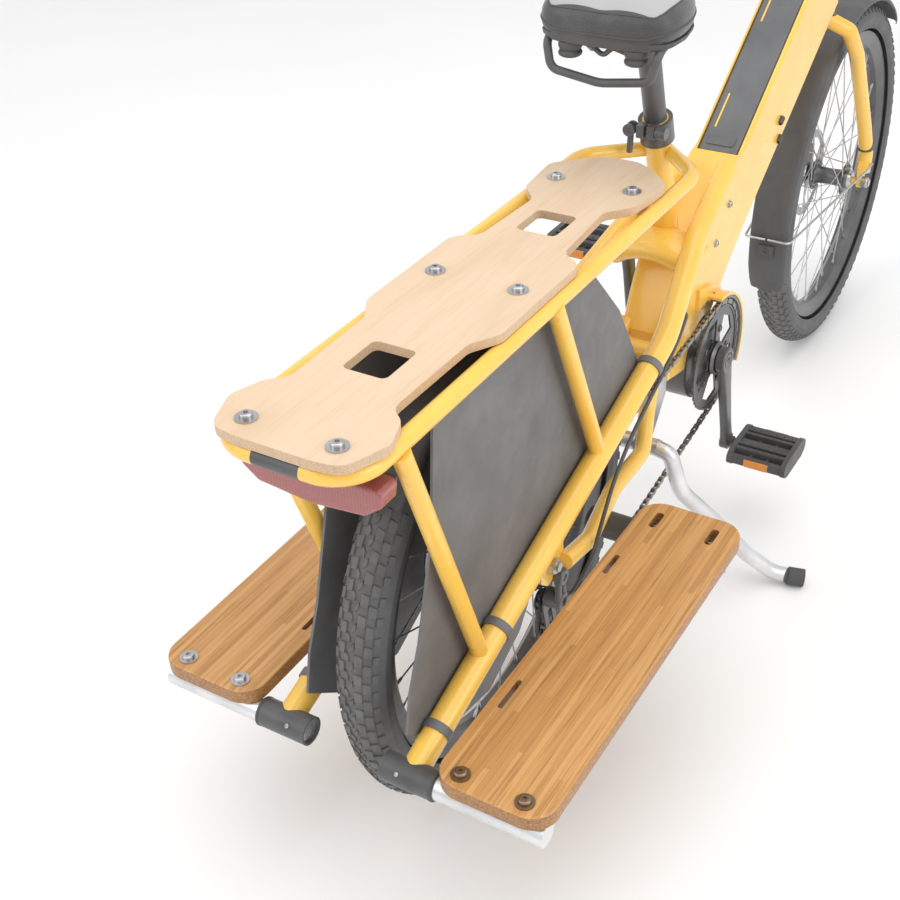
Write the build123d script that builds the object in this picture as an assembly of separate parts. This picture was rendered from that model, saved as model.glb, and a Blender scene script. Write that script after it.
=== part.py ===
from build123d import *
import os
from math import acos, atan2, cos, degrees, hypot, pi, radians, sin

# Cargo bicycle, millimetres, +X forward, +Y left, +Z up.
# Shapes are drawn with the rear axle over x = 0 and the ground at z = 0, and are moved
# by ORIGIN_X when they are written, so the part's origin is the middle of its length.

# ---- driving dimensions -------------------------------------------------------------
WHEEL_R = 310.0            # outer radius of a 24 x 2.4 inch tyre
WHEELBASE = 1240.0
TYRE_R = 30.0              # radius of the tyre's round section
RIM_R = 256.0              # bead seat radius
AXLE_Z = WHEEL_R
BB_X, BB_Z = 550.0, 300.0  # crank spindle
CRANK_LENGTH = 170.0
PEDAL_DROP = (0.236, -0.972)       # direction of the right crank arm at rest
CHAIN_Y = -55.0
CHAIN_PITCH = 12.7
CHAINRING_TEETH = 42
COG_TEETH = 18
PULLEY_TEETH = 11
CHAIN_HALF_HEIGHT = 4.0
CHAIN_HALF_WIDTH = 3.2
RUN_GAP = 0.6              # chain to the tips of the teeth that pass inside it

STEER_FOOT = (1198.0, 294.0)       # a point of the steering axis, x and z
STEER_SLOPE = -0.3833              # change of x for each mm of height
HEAD_BOTTOM, HEAD_TOP = 672.0, 868.0
STEM_TOP = 985.0

SEAT_FOOT = (408.0, 747.0)         # a point of the seat tube's axis
SEAT_SLOPE = -0.31
SEAT_TUBE_OD = 34.0
SEATPOST_R = 14.3
SEAT_TUBE_TOP = 700.0

LATERAL_Y = 80.0
LATERAL_OD = 30.0
RAIL_Y, RAIL_Z, RAIL_OD = 77.0, 658.0, 19.0
RACK_REAR_X = -376.0
STRUT_OD = 20.0
DECK_THICK = 10.0
DECK_CORNER_R = 21.0
DECK_BOLT_X = (-346.0, -26.0, 248.0)
DECK_BOLT_Y = 49.6

BOARD_X = (-338.0, 193.0)
BOARD_Y = (112.6, 244.4)
BOARD_Z = (276.0, 295.0)
BOARD_BOLT_Y = (140.0, 213.0)
REAR_BAR_X, FRONT_BAR_X, BAR_Z, BAR_OD = -320.0, 158.0, 262.0, 28.0
REAR_SOCKET_R, FRONT_SOCKET_R = 16.5, 18.0
SOCKET_INNER_Y, SOCKET_OUTER_Y = 48.0, 111.0
BAR_INNER_Y, BAR_OUTER_Y = 52.0, 238.0

DOWN_TUBE_HALF = 36.0
BATTERY_HALF = 30.0
BATTERY_DEPTH = 68.0
BATTERY_LOW, BATTERY_HIGH = (650.0, 573.0), (925.0, 757.0)

STAND_X, STAND_Z = 352.0, 258.0

ORIGIN_X = (WHEELBASE + WHEEL_R + RACK_REAR_X) / 2
SIDES = (-1, 1)
FRONT_AXLE = (WHEELBASE, 0, AXLE_Z)
REAR_AXLE = (0, 0, AXLE_Z)


# ---- helpers ------------------------------------------------------------------------
def tube(points, radii, outer, wall=0.0):
    """A round tube along straight runs with tangent arcs at the corners."""
    if len(points) == 2:
        path = Wire([Edge.make_line(points[0], points[1])])
    else:
        path = FilletPolyline(*points, radius=radii).wire()
    plane = Plane(path @ 0, z_dir=path % 0)
    section = Circle(outer / 2)
    if wall:
        section -= Circle(outer / 2 - wall)
    return sweep(plane * section, path=path)


def mirrored(points, side):
    """Points given for the left side, put on the side asked for."""
    return [(x, side * y, z) for x, y, z in points]


def rod(a, b, radius):
    """A solid cylinder from point a to point b."""
    line = Vector(b) - Vector(a)
    return Plane(a, z_dir=line) * Cylinder(radius, line.length, align=(Align.CENTER, Align.CENTER, Align.MIN))


def disc_y(x, y_from, y_to, z, radius, bore=0.0):
    """A cylinder whose axis is parallel to Y."""
    low, high = min(y_from, y_to), max(y_from, y_to)
    plane = Plane((x, low, z), x_dir=(1, 0, 0), z_dir=(0, 1, 0))
    shape = Cylinder(radius, high - low, align=(Align.CENTER, Align.CENTER, Align.MIN))
    if bore:
        shape -= Cylinder(bore, high - low, align=(Align.CENTER, Align.CENTER, Align.MIN))
    return plane * shape


def side_plate(points, y_from, y_to):
    """A flat plate with the outline given as x, z points."""
    low, high = min(y_from, y_to), max(y_from, y_to)
    corners = [(x, low, z) for x, z in points]
    face = Face(Wire.make_polygon(corners, close=True))
    return Solid.extrude(face, Vector(0, high - low, 0))


def plan_plate(points, z_from, z_to):
    """A flat plate with the outline given as x, y points."""
    face = Face(Wire.make_polygon([(x, y, z_from) for x, y in points], close=True))
    return Solid.extrude(face, Vector(0, 0, z_to - z_from))


def box(x_range, y_range, z_range):
    """A block between three pairs of limits."""
    size = [abs(r[1] - r[0]) for r in (x_range, y_range, z_range)]
    middle = [(r[0] + r[1]) / 2 for r in (x_range, y_range, z_range)]
    return Pos(*middle) * Box(*size)


def ring_of_revolution(axle, profile):
    """A solid turned about the wheel axis, from a profile of (radius, y) points."""
    x, _, z = axle
    corners = [(r, y, 0) for r, y in profile]
    face = Face(Wire.make_polygon(corners, close=True))
    turned = Solid.revolve(face, 360, Axis.Y)
    return Pos(x, 0, z) * turned


def offset_outline(points, inset):
    """The corners of an x, z outline moved inwards by a wall's thickness."""
    face = Face(Wire.make_polygon([(x, 0, z) for x, z in points], close=True))
    inner = offset(face, amount=-inset, kind=Kind.INTERSECTION)
    return [v.center() for v in inner.faces()[0].outer_wire().order_edges().vertices()]


def on_circle(centre, radius, angle):
    """A point in the x, z plane at an angle in degrees from +X towards +Z."""
    return (centre[0] + radius * cos(radians(angle)), centre[1] + radius * sin(radians(angle)))


def arc_band(centre, inner, outer, start, end, y_from, y_to):
    """A curved band about the wheel axis, between two angles."""
    low = min(y_from, y_to)
    height = abs(y_to - y_from)
    middle = (start + end) / 2
    pts = [on_circle(centre, r, a) for r in (outer, inner) for a in (start, middle, end)]
    to3 = [Vector(p[0], low, p[1]) for p in pts]
    outline = [
        Edge.make_three_point_arc(to3[0], to3[1], to3[2]),
        Edge.make_line(to3[2], to3[5]),
        Edge.make_three_point_arc(to3[5], to3[4], to3[3]),
        Edge.make_line(to3[3], to3[0]),
    ]
    return Solid.extrude(Face(Wire(outline)), Vector(0, height, 0))


def steer_x(z):
    return STEER_FOOT[0] + STEER_SLOPE * (z - STEER_FOOT[1])


def steer_point(z, y=0.0):
    return (steer_x(z), y, z)


def seat_point(z, y=0.0):
    return (SEAT_FOOT[0] + SEAT_SLOPE * (z - SEAT_FOOT[1]), y, z)


def pitch_radius(teeth):
    return CHAIN_PITCH / (2 * sin(pi / teeth))


def largest(shape):
    """The biggest of a shape's solids."""
    return shape.solids().sort_by(SortBy.VOLUME)[-1]


def save(name, *shapes):
    """Write one node, moved so that the origin is the middle of the bicycle's length."""
    parts = [s for shape in shapes for s in shape.solids()]
    node = parts[0] if len(parts) == 1 else Compound(parts)
    export_step(Pos(-ORIGIN_X, 0, 0) * node, f"parts/{name}.step")


os.makedirs("parts", exist_ok=True)


# ---- wheels -------------------------------------------------------------------------
def make_tyre(axle):
    """Open-bottomed casing with a round section and a flat band of tread."""
    centre_r = WHEEL_R - TYRE_R
    section = Pos(centre_r, 0) * (Circle(TYRE_R) - Circle(TYRE_R - 3.5))
    section -= Pos(RIM_R / 2 + 2, 0) * Rectangle(RIM_R + 4, 2 * TYRE_R)
    turned = revolve(section, axis=Axis.Y)
    return Pos(axle[0], 0, axle[2]) * turned


def make_rim(axle):
    """Double-walled rim with a well for the tyre."""
    profile = [
        (RIM_R + 3.4, 18), (RIM_R + 3.4, 15), (RIM_R - 4, 13), (RIM_R - 6, 0), (RIM_R - 4, -13),
        (RIM_R + 3.4, -15), (RIM_R + 3.4, -18), (RIM_R - 6, -18), (RIM_R - 20, -9),
        (RIM_R - 22, 0), (RIM_R - 20, 9), (RIM_R - 6, 18),
    ]
    return ring_of_revolution(axle, profile)


def make_hub(axle, left_flange, right_flange, left_end, right_end, bore):
    """Hub shell with two flanges, hollow for the axle."""
    half = 2.0
    profile = [
        (bore, left_end), (14, left_end), (16, left_flange + half), (29, left_flange + half),
        (29, left_flange - half), (17, left_flange - half), (17, right_flange + half),
        (29, right_flange + half), (29, right_flange - half), (15, right_flange - half),
        (13, right_end), (bore, right_end),
    ]
    return ring_of_revolution(axle, profile)


def make_spokes(axle, left_flange, right_flange):
    """Thirty-six crossed spokes, a quarter of them in each leaning direction on each flange."""
    spokes = []
    per_group = 9
    rim_r = RIM_R - 22.4
    flange_r = 30.2
    cross = 58.0
    for side, flange in ((1, left_flange), (-1, right_flange)):
        for lean, proud in ((1, 2.6), (-1, -2.6)):
            for i in range(per_group):
                hub_angle = 360 / per_group * i + (0 if side > 0 else 10) + (0 if lean > 0 else 20)
                rim_angle = hub_angle + lean * cross
                a = on_circle((axle[0], axle[2]), flange_r, hub_angle)
                b = on_circle((axle[0], axle[2]), rim_r, rim_angle)
                spokes.append(rod((a[0], flange + proud, a[1]), (b[0], side * 3.0, b[1]), 1.0))
    return Compound(spokes)


def make_brake_disc(axle, y, radius):
    """Brake disc with a spider bolted to the hub."""
    disc = disc_y(axle[0], y, y + 2, axle[2], radius, radius - 17)
    carrier = disc_y(axle[0], y, y + 2, axle[2], 24, 7)
    for i in range(6):
        angle = 60 * i
        a = on_circle((axle[0], axle[2]), 22, angle)
        b = on_circle((axle[0], axle[2]), radius - 10, angle + 25)
        c = on_circle((axle[0], axle[2]), radius - 10, angle + 33)
        d = on_circle((axle[0], axle[2]), 22, angle + 18)
        carrier += side_plate([a, b, c, d], y, y + 2)
    return disc + carrier


REAR_FLANGES = (32.0, -28.0)
FRONT_FLANGES = (26.0, -29.0)
REAR_DISC_Y, REAR_DISC_R = 45.0, 90.0
FRONT_DISC_Y, FRONT_DISC_R = 37.5, 80.0

for label, axle, flanges, ends, disc_at, disc_r in (
    ("rear", REAR_AXLE, REAR_FLANGES, (44.9, -32.0), REAR_DISC_Y, REAR_DISC_R),
    ("front", FRONT_AXLE, FRONT_FLANGES, (37.4, -42.0), FRONT_DISC_Y, FRONT_DISC_R),
):
    save(f"{label}_tyre", make_tyre(axle))
    save(f"{label}_rim", make_rim(axle))
    save(f"{label}_spokes", make_spokes(axle, *flanges))
    hub = make_hub(axle, flanges[0], flanges[1], ends[0], ends[1], 6.6)
    save(f"{label}_hub", hub, make_brake_disc(axle, disc_at, disc_r))


# ---- frame tubes --------------------------------------------------------------------
LATERAL_PATH = [(-322, 80, 262), (300, 80, 464), (465, 50, 534), (600, 34, 570)]
LATERAL_BENDS = [220, 160]
LATERAL_WALL = 2.5
STAY_PATH = [(428, 33, 402), (372, 35, 362), (335, 44, 322), (286, 62, 294), (190, 63, 293),
             (95, 78, 285), (22, 80, 301)]
STAY_BENDS = [60, 45, 45, 60, 60]
STAY_OD = 22.0


def lateral_tube(side, outer=LATERAL_OD):
    """The long tube beside the rear wheel, full length and solid."""
    return tube(mirrored(LATERAL_PATH, side), LATERAL_BENDS, outer)


def chain_stay(side):
    """The low tube from the motor cradle to the dropout, full length."""
    return tube(mirrored(STAY_PATH, side), STAY_BENDS, STAY_OD)


def board_socket(x, side, z, radius):
    """The outside of the short sleeve that holds a running board's bar."""
    return rod((x, side * SOCKET_INNER_Y, z), (x, side * SOCKET_OUTER_Y, z), radius)


laterals = {s: lateral_tube(s) for s in SIDES}

DOWN_TUBE_OUTLINE = [
    (425, 318), (515, 296), (600, 378), (643, 412), (693, 449), (1047, 681), (1010, 786), (968, 786),
    BATTERY_HIGH, BATTERY_LOW, (618, 566), (575, 545), (500, 508), (476, 496), (440, 440), (418, 395),
]
WALL = 4.0


def make_down_tube():
    """Box-section down tube that spreads downwards into the motor cradle."""
    body = side_plate(DOWN_TUBE_OUTLINE, -DOWN_TUBE_HALF, DOWN_TUBE_HALF)
    long_edges = body.edges().filter_by(lambda e: abs((e % 0.5).Y) < 0.01 and e.length > 40)
    return body.fillet(7, long_edges)


def battery_plate(gap, half):
    """Battery outline, grown by a gap for its bay, which is open at the top."""
    dx, dz = BATTERY_HIGH[0] - BATTERY_LOW[0], BATTERY_HIGH[1] - BATTERY_LOW[1]
    length = hypot(dx, dz)
    along = (dx / length, dz / length)
    inward = (along[1], -along[0])
    depth = BATTERY_DEPTH + gap
    lift = 30.0 if gap else 0.0

    def corner(origin, forwards, inwards):
        return (origin[0] + along[0] * forwards + inward[0] * inwards,
                origin[1] + along[1] * forwards + inward[1] * inwards)

    outline = [corner(BATTERY_LOW, -gap, -lift), corner(BATTERY_HIGH, gap, -lift),
               corner(BATTERY_HIGH, gap, depth), corner(BATTERY_LOW, -gap, depth)]
    return side_plate(outline, -half, half)


battery = battery_plate(0.0, BATTERY_HALF)
battery = battery.fillet(5, battery.edges().filter_by(lambda e: abs((e % 0.5).Y) < 0.01))
save("battery", battery)
BAY_GAP = 1.0
battery_bay = battery_plate(BAY_GAP, BATTERY_HALF + BAY_GAP)

HEAD_TUBE_R = 27.0
head_axis = (steer_point(HEAD_BOTTOM), steer_point(HEAD_TOP))
head_envelope = rod(*head_axis, HEAD_TUBE_R)
head_tube = head_envelope - rod(*head_axis, HEAD_TUBE_R - WALL)

seat_tube_solid = rod(seat_point(470), seat_point(SEAT_TUBE_TOP), SEAT_TUBE_OD / 2)
seat_bore = rod(seat_point(440), seat_point(SEAT_TUBE_TOP + 20), SEATPOST_R + 0.3)

MOTOR_R = 66.0
motor_bite = disc_y(BB_X, -60, 60, BB_Z, MOTOR_R + 0.4)
inner_half = DOWN_TUBE_HALF - WALL
cavity = side_plate([(p.X, p.Z) for p in offset_outline(DOWN_TUBE_OUTLINE, WALL)], -inner_half, inner_half)
cavity -= battery_plate(BAY_GAP + WALL, BATTERY_HALF + BAY_GAP + WALL)
cavity -= rod(*head_axis, HEAD_TUBE_R + WALL)
cavity -= disc_y(BB_X, -60, 60, BB_Z, MOTOR_R + 0.4 + WALL)
cavity = largest(cavity)
down_tube = make_down_tube() - battery_bay - head_envelope - motor_bite - cavity
seat_tube = seat_tube_solid - seat_bore - down_tube


def make_yoke():
    """Flat-topped arch that joins the two laterals under the seat tube."""
    path = Edge.make_three_point_arc((448, -56, 500), (448, 0, 517), (448, 56, 500))
    plane = Plane(path @ 0, x_dir=(1, 0, 0), z_dir=path % 0)
    return sweep(plane * Ellipse(38, 20), path=Wire([path]))


yoke = make_yoke() - laterals[1] - laterals[-1] - down_tube - seat_tube_solid - seat_bore
for s in SIDES:
    laterals[s] = laterals[s] - down_tube - board_socket(REAR_BAR_X, s, BAR_Z, REAR_SOCKET_R)

DROPOUT = [(-24, 296), (-10, 284), (14, 284), (34, 292), (32, 312), (26, 360), (-14, 350), (-26, 316)]
stays = []
dropouts = []
for s in SIDES:
    plate = side_plate(DROPOUT, s * 68, s * 74) - disc_y(0, -90, 90, AXLE_Z, 6.3)
    dropouts.append(plate - lateral_tube(s))
    stays.append(chain_stay(s) - plate - down_tube)
cross_brace = rod((398, -34, 382), (398, 34, 382), 10) - down_tube - chain_stay(1) - chain_stay(-1)

save("down_tube", down_tube)
save("seat_tube", seat_tube)
save("seat_yoke", yoke)
save("lateral_tubes", *[laterals[s] - lateral_tube(s, LATERAL_OD - 2 * LATERAL_WALL) for s in SIDES])

CUP_HEIGHT = 9.0
cup_low = rod(steer_point(HEAD_BOTTOM - CUP_HEIGHT), steer_point(HEAD_BOTTOM), HEAD_TUBE_R)
cup_high = rod(steer_point(HEAD_TOP), steer_point(HEAD_TOP + CUP_HEIGHT), HEAD_TUBE_R)
steer_bore = rod(steer_point(HEAD_BOTTOM - 20), steer_point(HEAD_TOP + 20), 15)
save("head_tube", head_tube - down_tube, cup_low - steer_bore, cup_high - steer_bore)

rear_axle = rod((0, -86, AXLE_Z), (0, 86, AXLE_Z), 6.0)
axle_nuts = []
for s in SIDES:
    nut_plane = Plane((0, s * 74, AXLE_Z), z_dir=(0, s, 0))
    nut = extrude(nut_plane * RegularPolygon(11, 6), 8)
    axle_nuts.append(nut - rear_axle)
save("rear_stays", *stays, *dropouts, cross_brace, rear_axle, *axle_nuts)


# ---- rack and deck ------------------------------------------------------------------
RAIL_PATH = [(RACK_REAR_X + 10, 26, RAIL_Z), (RACK_REAR_X + 10, 77, RAIL_Z), (372, 77, RAIL_Z - 2),
             (446, 10, RAIL_Z - 8)]
RAIL_BENDS = [42, 60]
STRUT_ENDS = (((-297, 80, 652), (-177, 80, 317)), ((-3, 80, 655), (111, 80, 400)))
CROSS_BAR_R = 8.0
rails = {s: tube(mirrored(RAIL_PATH, s), RAIL_BENDS, RAIL_OD) for s in SIDES}
rack = []
for s in SIDES:
    # the two rails meet behind the seat tube, so each stops at the middle
    other_half = box((300, 500), (0, -s * 90), (600, 700))
    rack.append(largest(rails[s] - seat_tube_solid - other_half))
    for top, foot in STRUT_ENDS:
        strut = rod(*mirrored([top, foot], s), STRUT_OD / 2)
        rack.append(largest(strut - rails[s] - lateral_tube(s)))
for x in DECK_BOLT_X:
    bar = rod((x, -RAIL_Y, RAIL_Z), (x, RAIL_Y, RAIL_Z), CROSS_BAR_R)
    rack.append(largest(bar - rails[1] - rails[-1]))
DECK_Z0 = RAIL_Z + RAIL_OD / 2 + 0.5
DECK_Z1 = DECK_Z0 + DECK_THICK
DECK_BOLT_PLACES = [(x, s * DECK_BOLT_Y) for x in DECK_BOLT_X for s in SIDES]
deck_bolt_holes = [Pos(x, y, DECK_Z0) * Cylinder(3.0, 60) for x, y in DECK_BOLT_PLACES]
rack = [piece - deck_bolt_holes for piece in rack]
save("rack_frame", *rack)
end_plate = rod((RACK_REAR_X + 10, -26, RAIL_Z), (RACK_REAR_X + 10, 26, RAIL_Z), RAIL_OD / 2)
save("rack_end_plate", end_plate)

DECK_HALF = [
    (-374, 40), (-370, 71), (-322, 89), (-286, 76), (-272, 58), (-144, 60), (-112, 79),
    (56, 79), (69, 52), (182, 45), (209, 70), (284, 77), (316, 46), (332, 20),
]


def make_deck():
    """Plywood deck with narrow necks, two windows and six bolt holes."""
    outline = DECK_HALF + [(x, -y) for x, y in reversed(DECK_HALF)]
    board = plan_plate(outline, DECK_Z0, DECK_Z1)
    board = board.fillet(DECK_CORNER_R, board.edges().filter_by(Axis.Z))
    for x0, x1 in ((-235, -178), (102, 158)):
        window = box((x0, x1), (-25, 25), (DECK_Z0 - 1, DECK_Z1 + 1))
        board -= fillet(window.edges().filter_by(Axis.Z), 7)
    return board - deck_bolt_holes


def cap_bolt(x, y, seat_z, head_r, washer_r, shank_r, shank_length):
    """Button-head bolt on a washer, pointing down."""
    washer = Pos(x, y, seat_z + 0.8) * Cylinder(washer_r, 1.6)
    head = Pos(x, y, seat_z + 1.6) * Cylinder(head_r, 4.4, align=(Align.CENTER, Align.CENTER, Align.MIN))
    head = fillet(head.edges().sort_by(Axis.Z)[-1], 2.2)
    socket = Pos(x, y, seat_z + 4.2) * extrude(RegularPolygon(2.6, 6), 3)
    hanging = (Align.CENTER, Align.CENTER, Align.MAX)
    shank = Pos(x, y, seat_z + 1.6) * Cylinder(shank_r, shank_length + 1.6, align=hanging)
    return washer + head + shank - socket


save("deck", make_deck())
save("deck_bolts", *[cap_bolt(x, y, DECK_Z1, 6.5, 11, 2.9, 26) for x, y in DECK_BOLT_PLACES])


# ---- running boards -----------------------------------------------------------------
STRAP_SLOTS = ((-221, -174), (31, 70))
STRAP_SLOT_Y = 128.0
ADJUST_SLOT = (139, 171)
FRONT_BOLT_X = FRONT_BAR_X - 8


def make_running_board(side):
    """Bamboo foot board with rounded corners, strap slots and bolt slots."""
    ys = sorted(side * y for y in BOARD_Y)
    board = box(BOARD_X, ys, BOARD_Z)
    board = fillet(board.edges().filter_by(Axis.Z), 30)
    board = fillet(board.edges().filter_by(lambda e: abs((e % 0.5).Z) < 0.01), 2.5)
    cut_z = (BOARD_Z[0] - 1, BOARD_Z[1] + 1)
    for slot_x in STRAP_SLOTS:
        slot = box(slot_x, (side * STRAP_SLOT_Y - 3.2, side * STRAP_SLOT_Y + 3.2), cut_z)
        board -= fillet(slot.edges().filter_by(Axis.Z), 3)
    for y in BOARD_BOLT_Y:
        slot = box(ADJUST_SLOT, (side * y - 5, side * y + 5), cut_z)
        board -= fillet(slot.edges().filter_by(Axis.Z), 4.8)
        board -= Pos(REAR_BAR_X, side * y, BOARD_Z[0]) * Cylinder(3.4, 60)
    return board


board_bolts = []
for s in SIDES:
    save("running_board_left" if s > 0 else "running_board_right", make_running_board(s))
    for y in BOARD_BOLT_Y:
        board_bolts.append(cap_bolt(REAR_BAR_X, s * y, BOARD_Z[1], 7.0, 10.5, 3.2, 30))
        board_bolts.append(cap_bolt(FRONT_BOLT_X, s * y, BOARD_Z[1] - 9, 4.4, 4.6, 3.2, 21))
save("board_bolts", *board_bolts)

bolt_holes = [Pos(x, s * y, BAR_Z) * Cylinder(3.3, 40)
              for x in (REAR_BAR_X, FRONT_BOLT_X) for s in SIDES for y in BOARD_BOLT_Y]
bars = []
sockets = []
for s in SIDES:
    for x, radius in ((REAR_BAR_X, REAR_SOCKET_R), (FRONT_BAR_X, FRONT_SOCKET_R)):
        bars.append(rod((x, s * BAR_INNER_Y, BAR_Z), (x, s * BAR_OUTER_Y, BAR_Z), BAR_OD / 2) - bolt_holes)
        bore = rod((x, s * (SOCKET_INNER_Y - 1), BAR_Z), (x, s * (SOCKET_OUTER_Y + 1), BAR_Z), BAR_OD / 2)
        sockets.append(board_socket(x, s, BAR_Z, radius) - bore - chain_stay(s))
save("board_bars", *bars)
save("board_sockets", *sockets)


# ---- skirts, fenders and tail light -------------------------------------------------
SKIRT = [(108, 646), (191, 554), (262, 434), (65, 366), (40, 355), (9, 336), (-62, 250), (-134, 217),
         (-230, 236), (-301, 295), (-290, 343), (-267, 395), (-233, 504), (-218, 646)]
SKIRT_Y = (61.8, 64.8)
CLAMP_PLACES = ((-268, 279.5), (-139, 321.4), (251, 448.1))
AXLE_CLEARANCE = 40.0
skirts = []
for s in SIDES:
    skirt = side_plate(SKIRT, s * SKIRT_Y[0], s * SKIRT_Y[1]) - disc_y(0, -90, 90, AXLE_Z, AXLE_CLEARANCE)
    for x, z in CLAMP_PLACES:
        plane = Plane((x, s * LATERAL_Y, z), z_dir=(0.951, 0, 0.309))
        skirt += plane * Cylinder(LATERAL_OD / 2 + 2, 10)
    skirts.append(skirt - lateral_tube(s))
save("skirts", *skirts)

FENDER_R = 322.0
FENDER_HALF = 33.0
REAR_FENDER_ARC = (16, 137)
FRONT_FENDER_ARC = (45, 196)


def make_fender(axle, start, end):
    """Thin arched shell over the tyre, with turned-down edges."""
    centre = (axle[0], axle[2])
    crown = arc_band(centre, FENDER_R, FENDER_R + 2, start, end, -FENDER_HALF, FENDER_HALF)
    left = arc_band(centre, FENDER_R - 12, FENDER_R, start, end, FENDER_HALF - 2, FENDER_HALF)
    right = arc_band(centre, FENDER_R - 12, FENDER_R, start, end, -FENDER_HALF, -FENDER_HALF + 2)
    return crown + left + right


rear_fender = make_fender(REAR_AXLE, *REAR_FENDER_ARC)
rear_spacer = rod((-26, 0, AXLE_Z + FENDER_R + 1), (-26, 0, RAIL_Z - 6), 7)
rear_spacer -= rod((-26, -RAIL_Y, RAIL_Z), (-26, RAIL_Y, RAIL_Z), CROSS_BAR_R)
rear_spacer -= rear_fender

LIGHT_X, LIGHT_DEPTH = -306.0, 26.0
LIGHT_HALF, LIGHT_Z = 81.0, (590.0, 630.0)
STRAP_Y = 50.0
lens_half = [(LIGHT_HALF, LIGHT_Z[1]), (LIGHT_HALF - 3, 610), (60, 596)]
lens_outline = lens_half + [(0, LIGHT_Z[0])] + [(-y, z) for y, z in reversed(lens_half)]
lens_face = Face(Wire.make_polygon([(LIGHT_X, y, z) for y, z in lens_outline], close=True))
lens = Solid.extrude(lens_face, Vector(-LIGHT_DEPTH, 0, 0))
lens = fillet(lens.edges().filter_by(Axis.X), 6)
lens = fillet(lens.faces().sort_by(Axis.X)[0].edges(), 4)
save("tail_light_lens", lens)
bracket = box((LIGHT_X, LIGHT_X + 4), (2 - LIGHT_HALF, LIGHT_HALF - 2), (602, LIGHT_Z[1]))
for s in SIDES:
    bracket += box((LIGHT_X, LIGHT_X + 4), (s * STRAP_Y - 8, s * STRAP_Y + 8), (LIGHT_Z[1], DECK_Z0))
save("rear_fender", rear_fender, rear_spacer, bracket)


# ---- chain and sprockets ------------------------------------------------------------
RING_R = pitch_radius(CHAINRING_TEETH)
COG_R = pitch_radius(COG_TEETH)
PULLEY_R = pitch_radius(PULLEY_TEETH)
GUIDE_PULLEY = (16.0, 236.0)
TENSION_PULLEY = (30.0, 168.0)
# each sprocket the chain passes: centre, pitch radius, and which way it is wrapped
CHAIN_STATIONS = (
    ((BB_X, BB_Z), RING_R, 1),
    ((0.0, AXLE_Z), COG_R, 1),
    (GUIDE_PULLEY, PULLEY_R, -1),
    (TENSION_PULLEY, PULLEY_R, 1),
)


def belt_face(offset):
    """The area inside the chain's run, with its edge moved outwards by an offset."""
    circles = [(c, r + turn * offset, turn) for c, r, turn in CHAIN_STATIONS]
    leave, arrive = [], []
    for i, (c1, r1, s1) in enumerate(circles):
        c2, r2, s2 = circles[(i + 1) % len(circles)]
        dx, dz = c2[0] - c1[0], c2[1] - c1[1]
        gap = hypot(dx, dz)
        angle = atan2(dz, dx) + acos((s2 * r2 - s1 * r1) / gap)
        nx, nz = cos(angle), sin(angle)
        leave.append((c1[0] - s1 * r1 * nx, c1[1] - s1 * r1 * nz))
        arrive.append((c2[0] - s2 * r2 * nx, c2[1] - s2 * r2 * nz))
    edges = []
    for i, (c, r, turn) in enumerate(circles):
        start, end = arrive[i - 1], leave[i]
        a0 = atan2(start[1] - c[1], start[0] - c[0])
        a1 = atan2(end[1] - c[1], end[0] - c[0])
        sweep_angle = (a1 - a0) * turn % (2 * pi)
        middle = on_circle(c, r, degrees(a0 + turn * sweep_angle / 2))
        edges.append(Edge.make_three_point_arc(*[Vector(p[0], 0, p[1]) for p in (start, middle, end)]))
        target = arrive[i]
        edges.append(Edge.make_line(Vector(end[0], 0, end[1]), Vector(target[0], 0, target[1])))
    return Face(Wire(edges))


def toothed_disc(centre, teeth, pitch_r, tip_r, depth, y_middle, thickness, bore):
    """A sprocket: a disc with notches between its teeth."""
    disc = disc_y(centre[0], y_middle - thickness / 2, y_middle + thickness / 2, centre[1], tip_r, bore)
    notch_r = pi * tip_r / teeth * 0.55
    notches = []
    for i in range(teeth):
        x, z = on_circle(centre, tip_r + notch_r - depth, 360 / teeth * (i + 0.5))
        notches.append(disc_y(x, y_middle - 5, y_middle + 5, z, notch_r))
    return disc - notches


outer_belt = Solid.extrude(belt_face(CHAIN_HALF_HEIGHT), Vector(0, 2 * CHAIN_HALF_WIDTH, 0))
inner_belt = Solid.extrude(belt_face(-CHAIN_HALF_HEIGHT), Vector(0, 2 * CHAIN_HALF_WIDTH, 0))
chain = Pos(0, CHAIN_Y - CHAIN_HALF_WIDTH, 0) * (outer_belt - inner_belt)
save("chain", chain)

TOOTH_TRIM = CHAIN_HALF_HEIGHT + RUN_GAP
ring = toothed_disc((BB_X, BB_Z), CHAINRING_TEETH, RING_R, RING_R - TOOTH_TRIM, 3.6, CHAIN_Y, 2.6, 10)
RING_ARMS = 5
RING_WINDOW = ((26, 20), (64, 18), (68, 42), (64, 66), (26, 64))     # radius and angle of each corner
for i in range(RING_ARMS):
    window = [on_circle((BB_X, BB_Z), r, 360 / RING_ARMS * i + angle) for r, angle in RING_WINDOW]
    ring -= side_plate(window, CHAIN_Y - 3, CHAIN_Y + 3)
ring_hub = disc_y(BB_X, CHAIN_Y - 1.3, CHAIN_Y - 9, BB_Z, 22, 10)
save("chainring", ring, ring_hub)

COG_SET = (13, 15, 18, 21, 24, 28, 32)
COG_STEP = 4.4
cogs = []
for i, teeth in enumerate(COG_SET):
    y = CHAIN_Y + COG_STEP * (i - COG_SET.index(COG_TEETH))
    tip = pitch_radius(teeth) + (2.4 if teeth != COG_TEETH else -TOOTH_TRIM)
    cogs.append(toothed_disc((0, AXLE_Z), teeth, tip, tip, 4.0, y, 1.6, 17))
freehub = disc_y(0, CHAIN_Y - COG_STEP * 2 - 2.4, CHAIN_Y + COG_STEP * 4 + 2.4, AXLE_Z, 17, 6.6)
save("cassette", *cogs, freehub)

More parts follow.
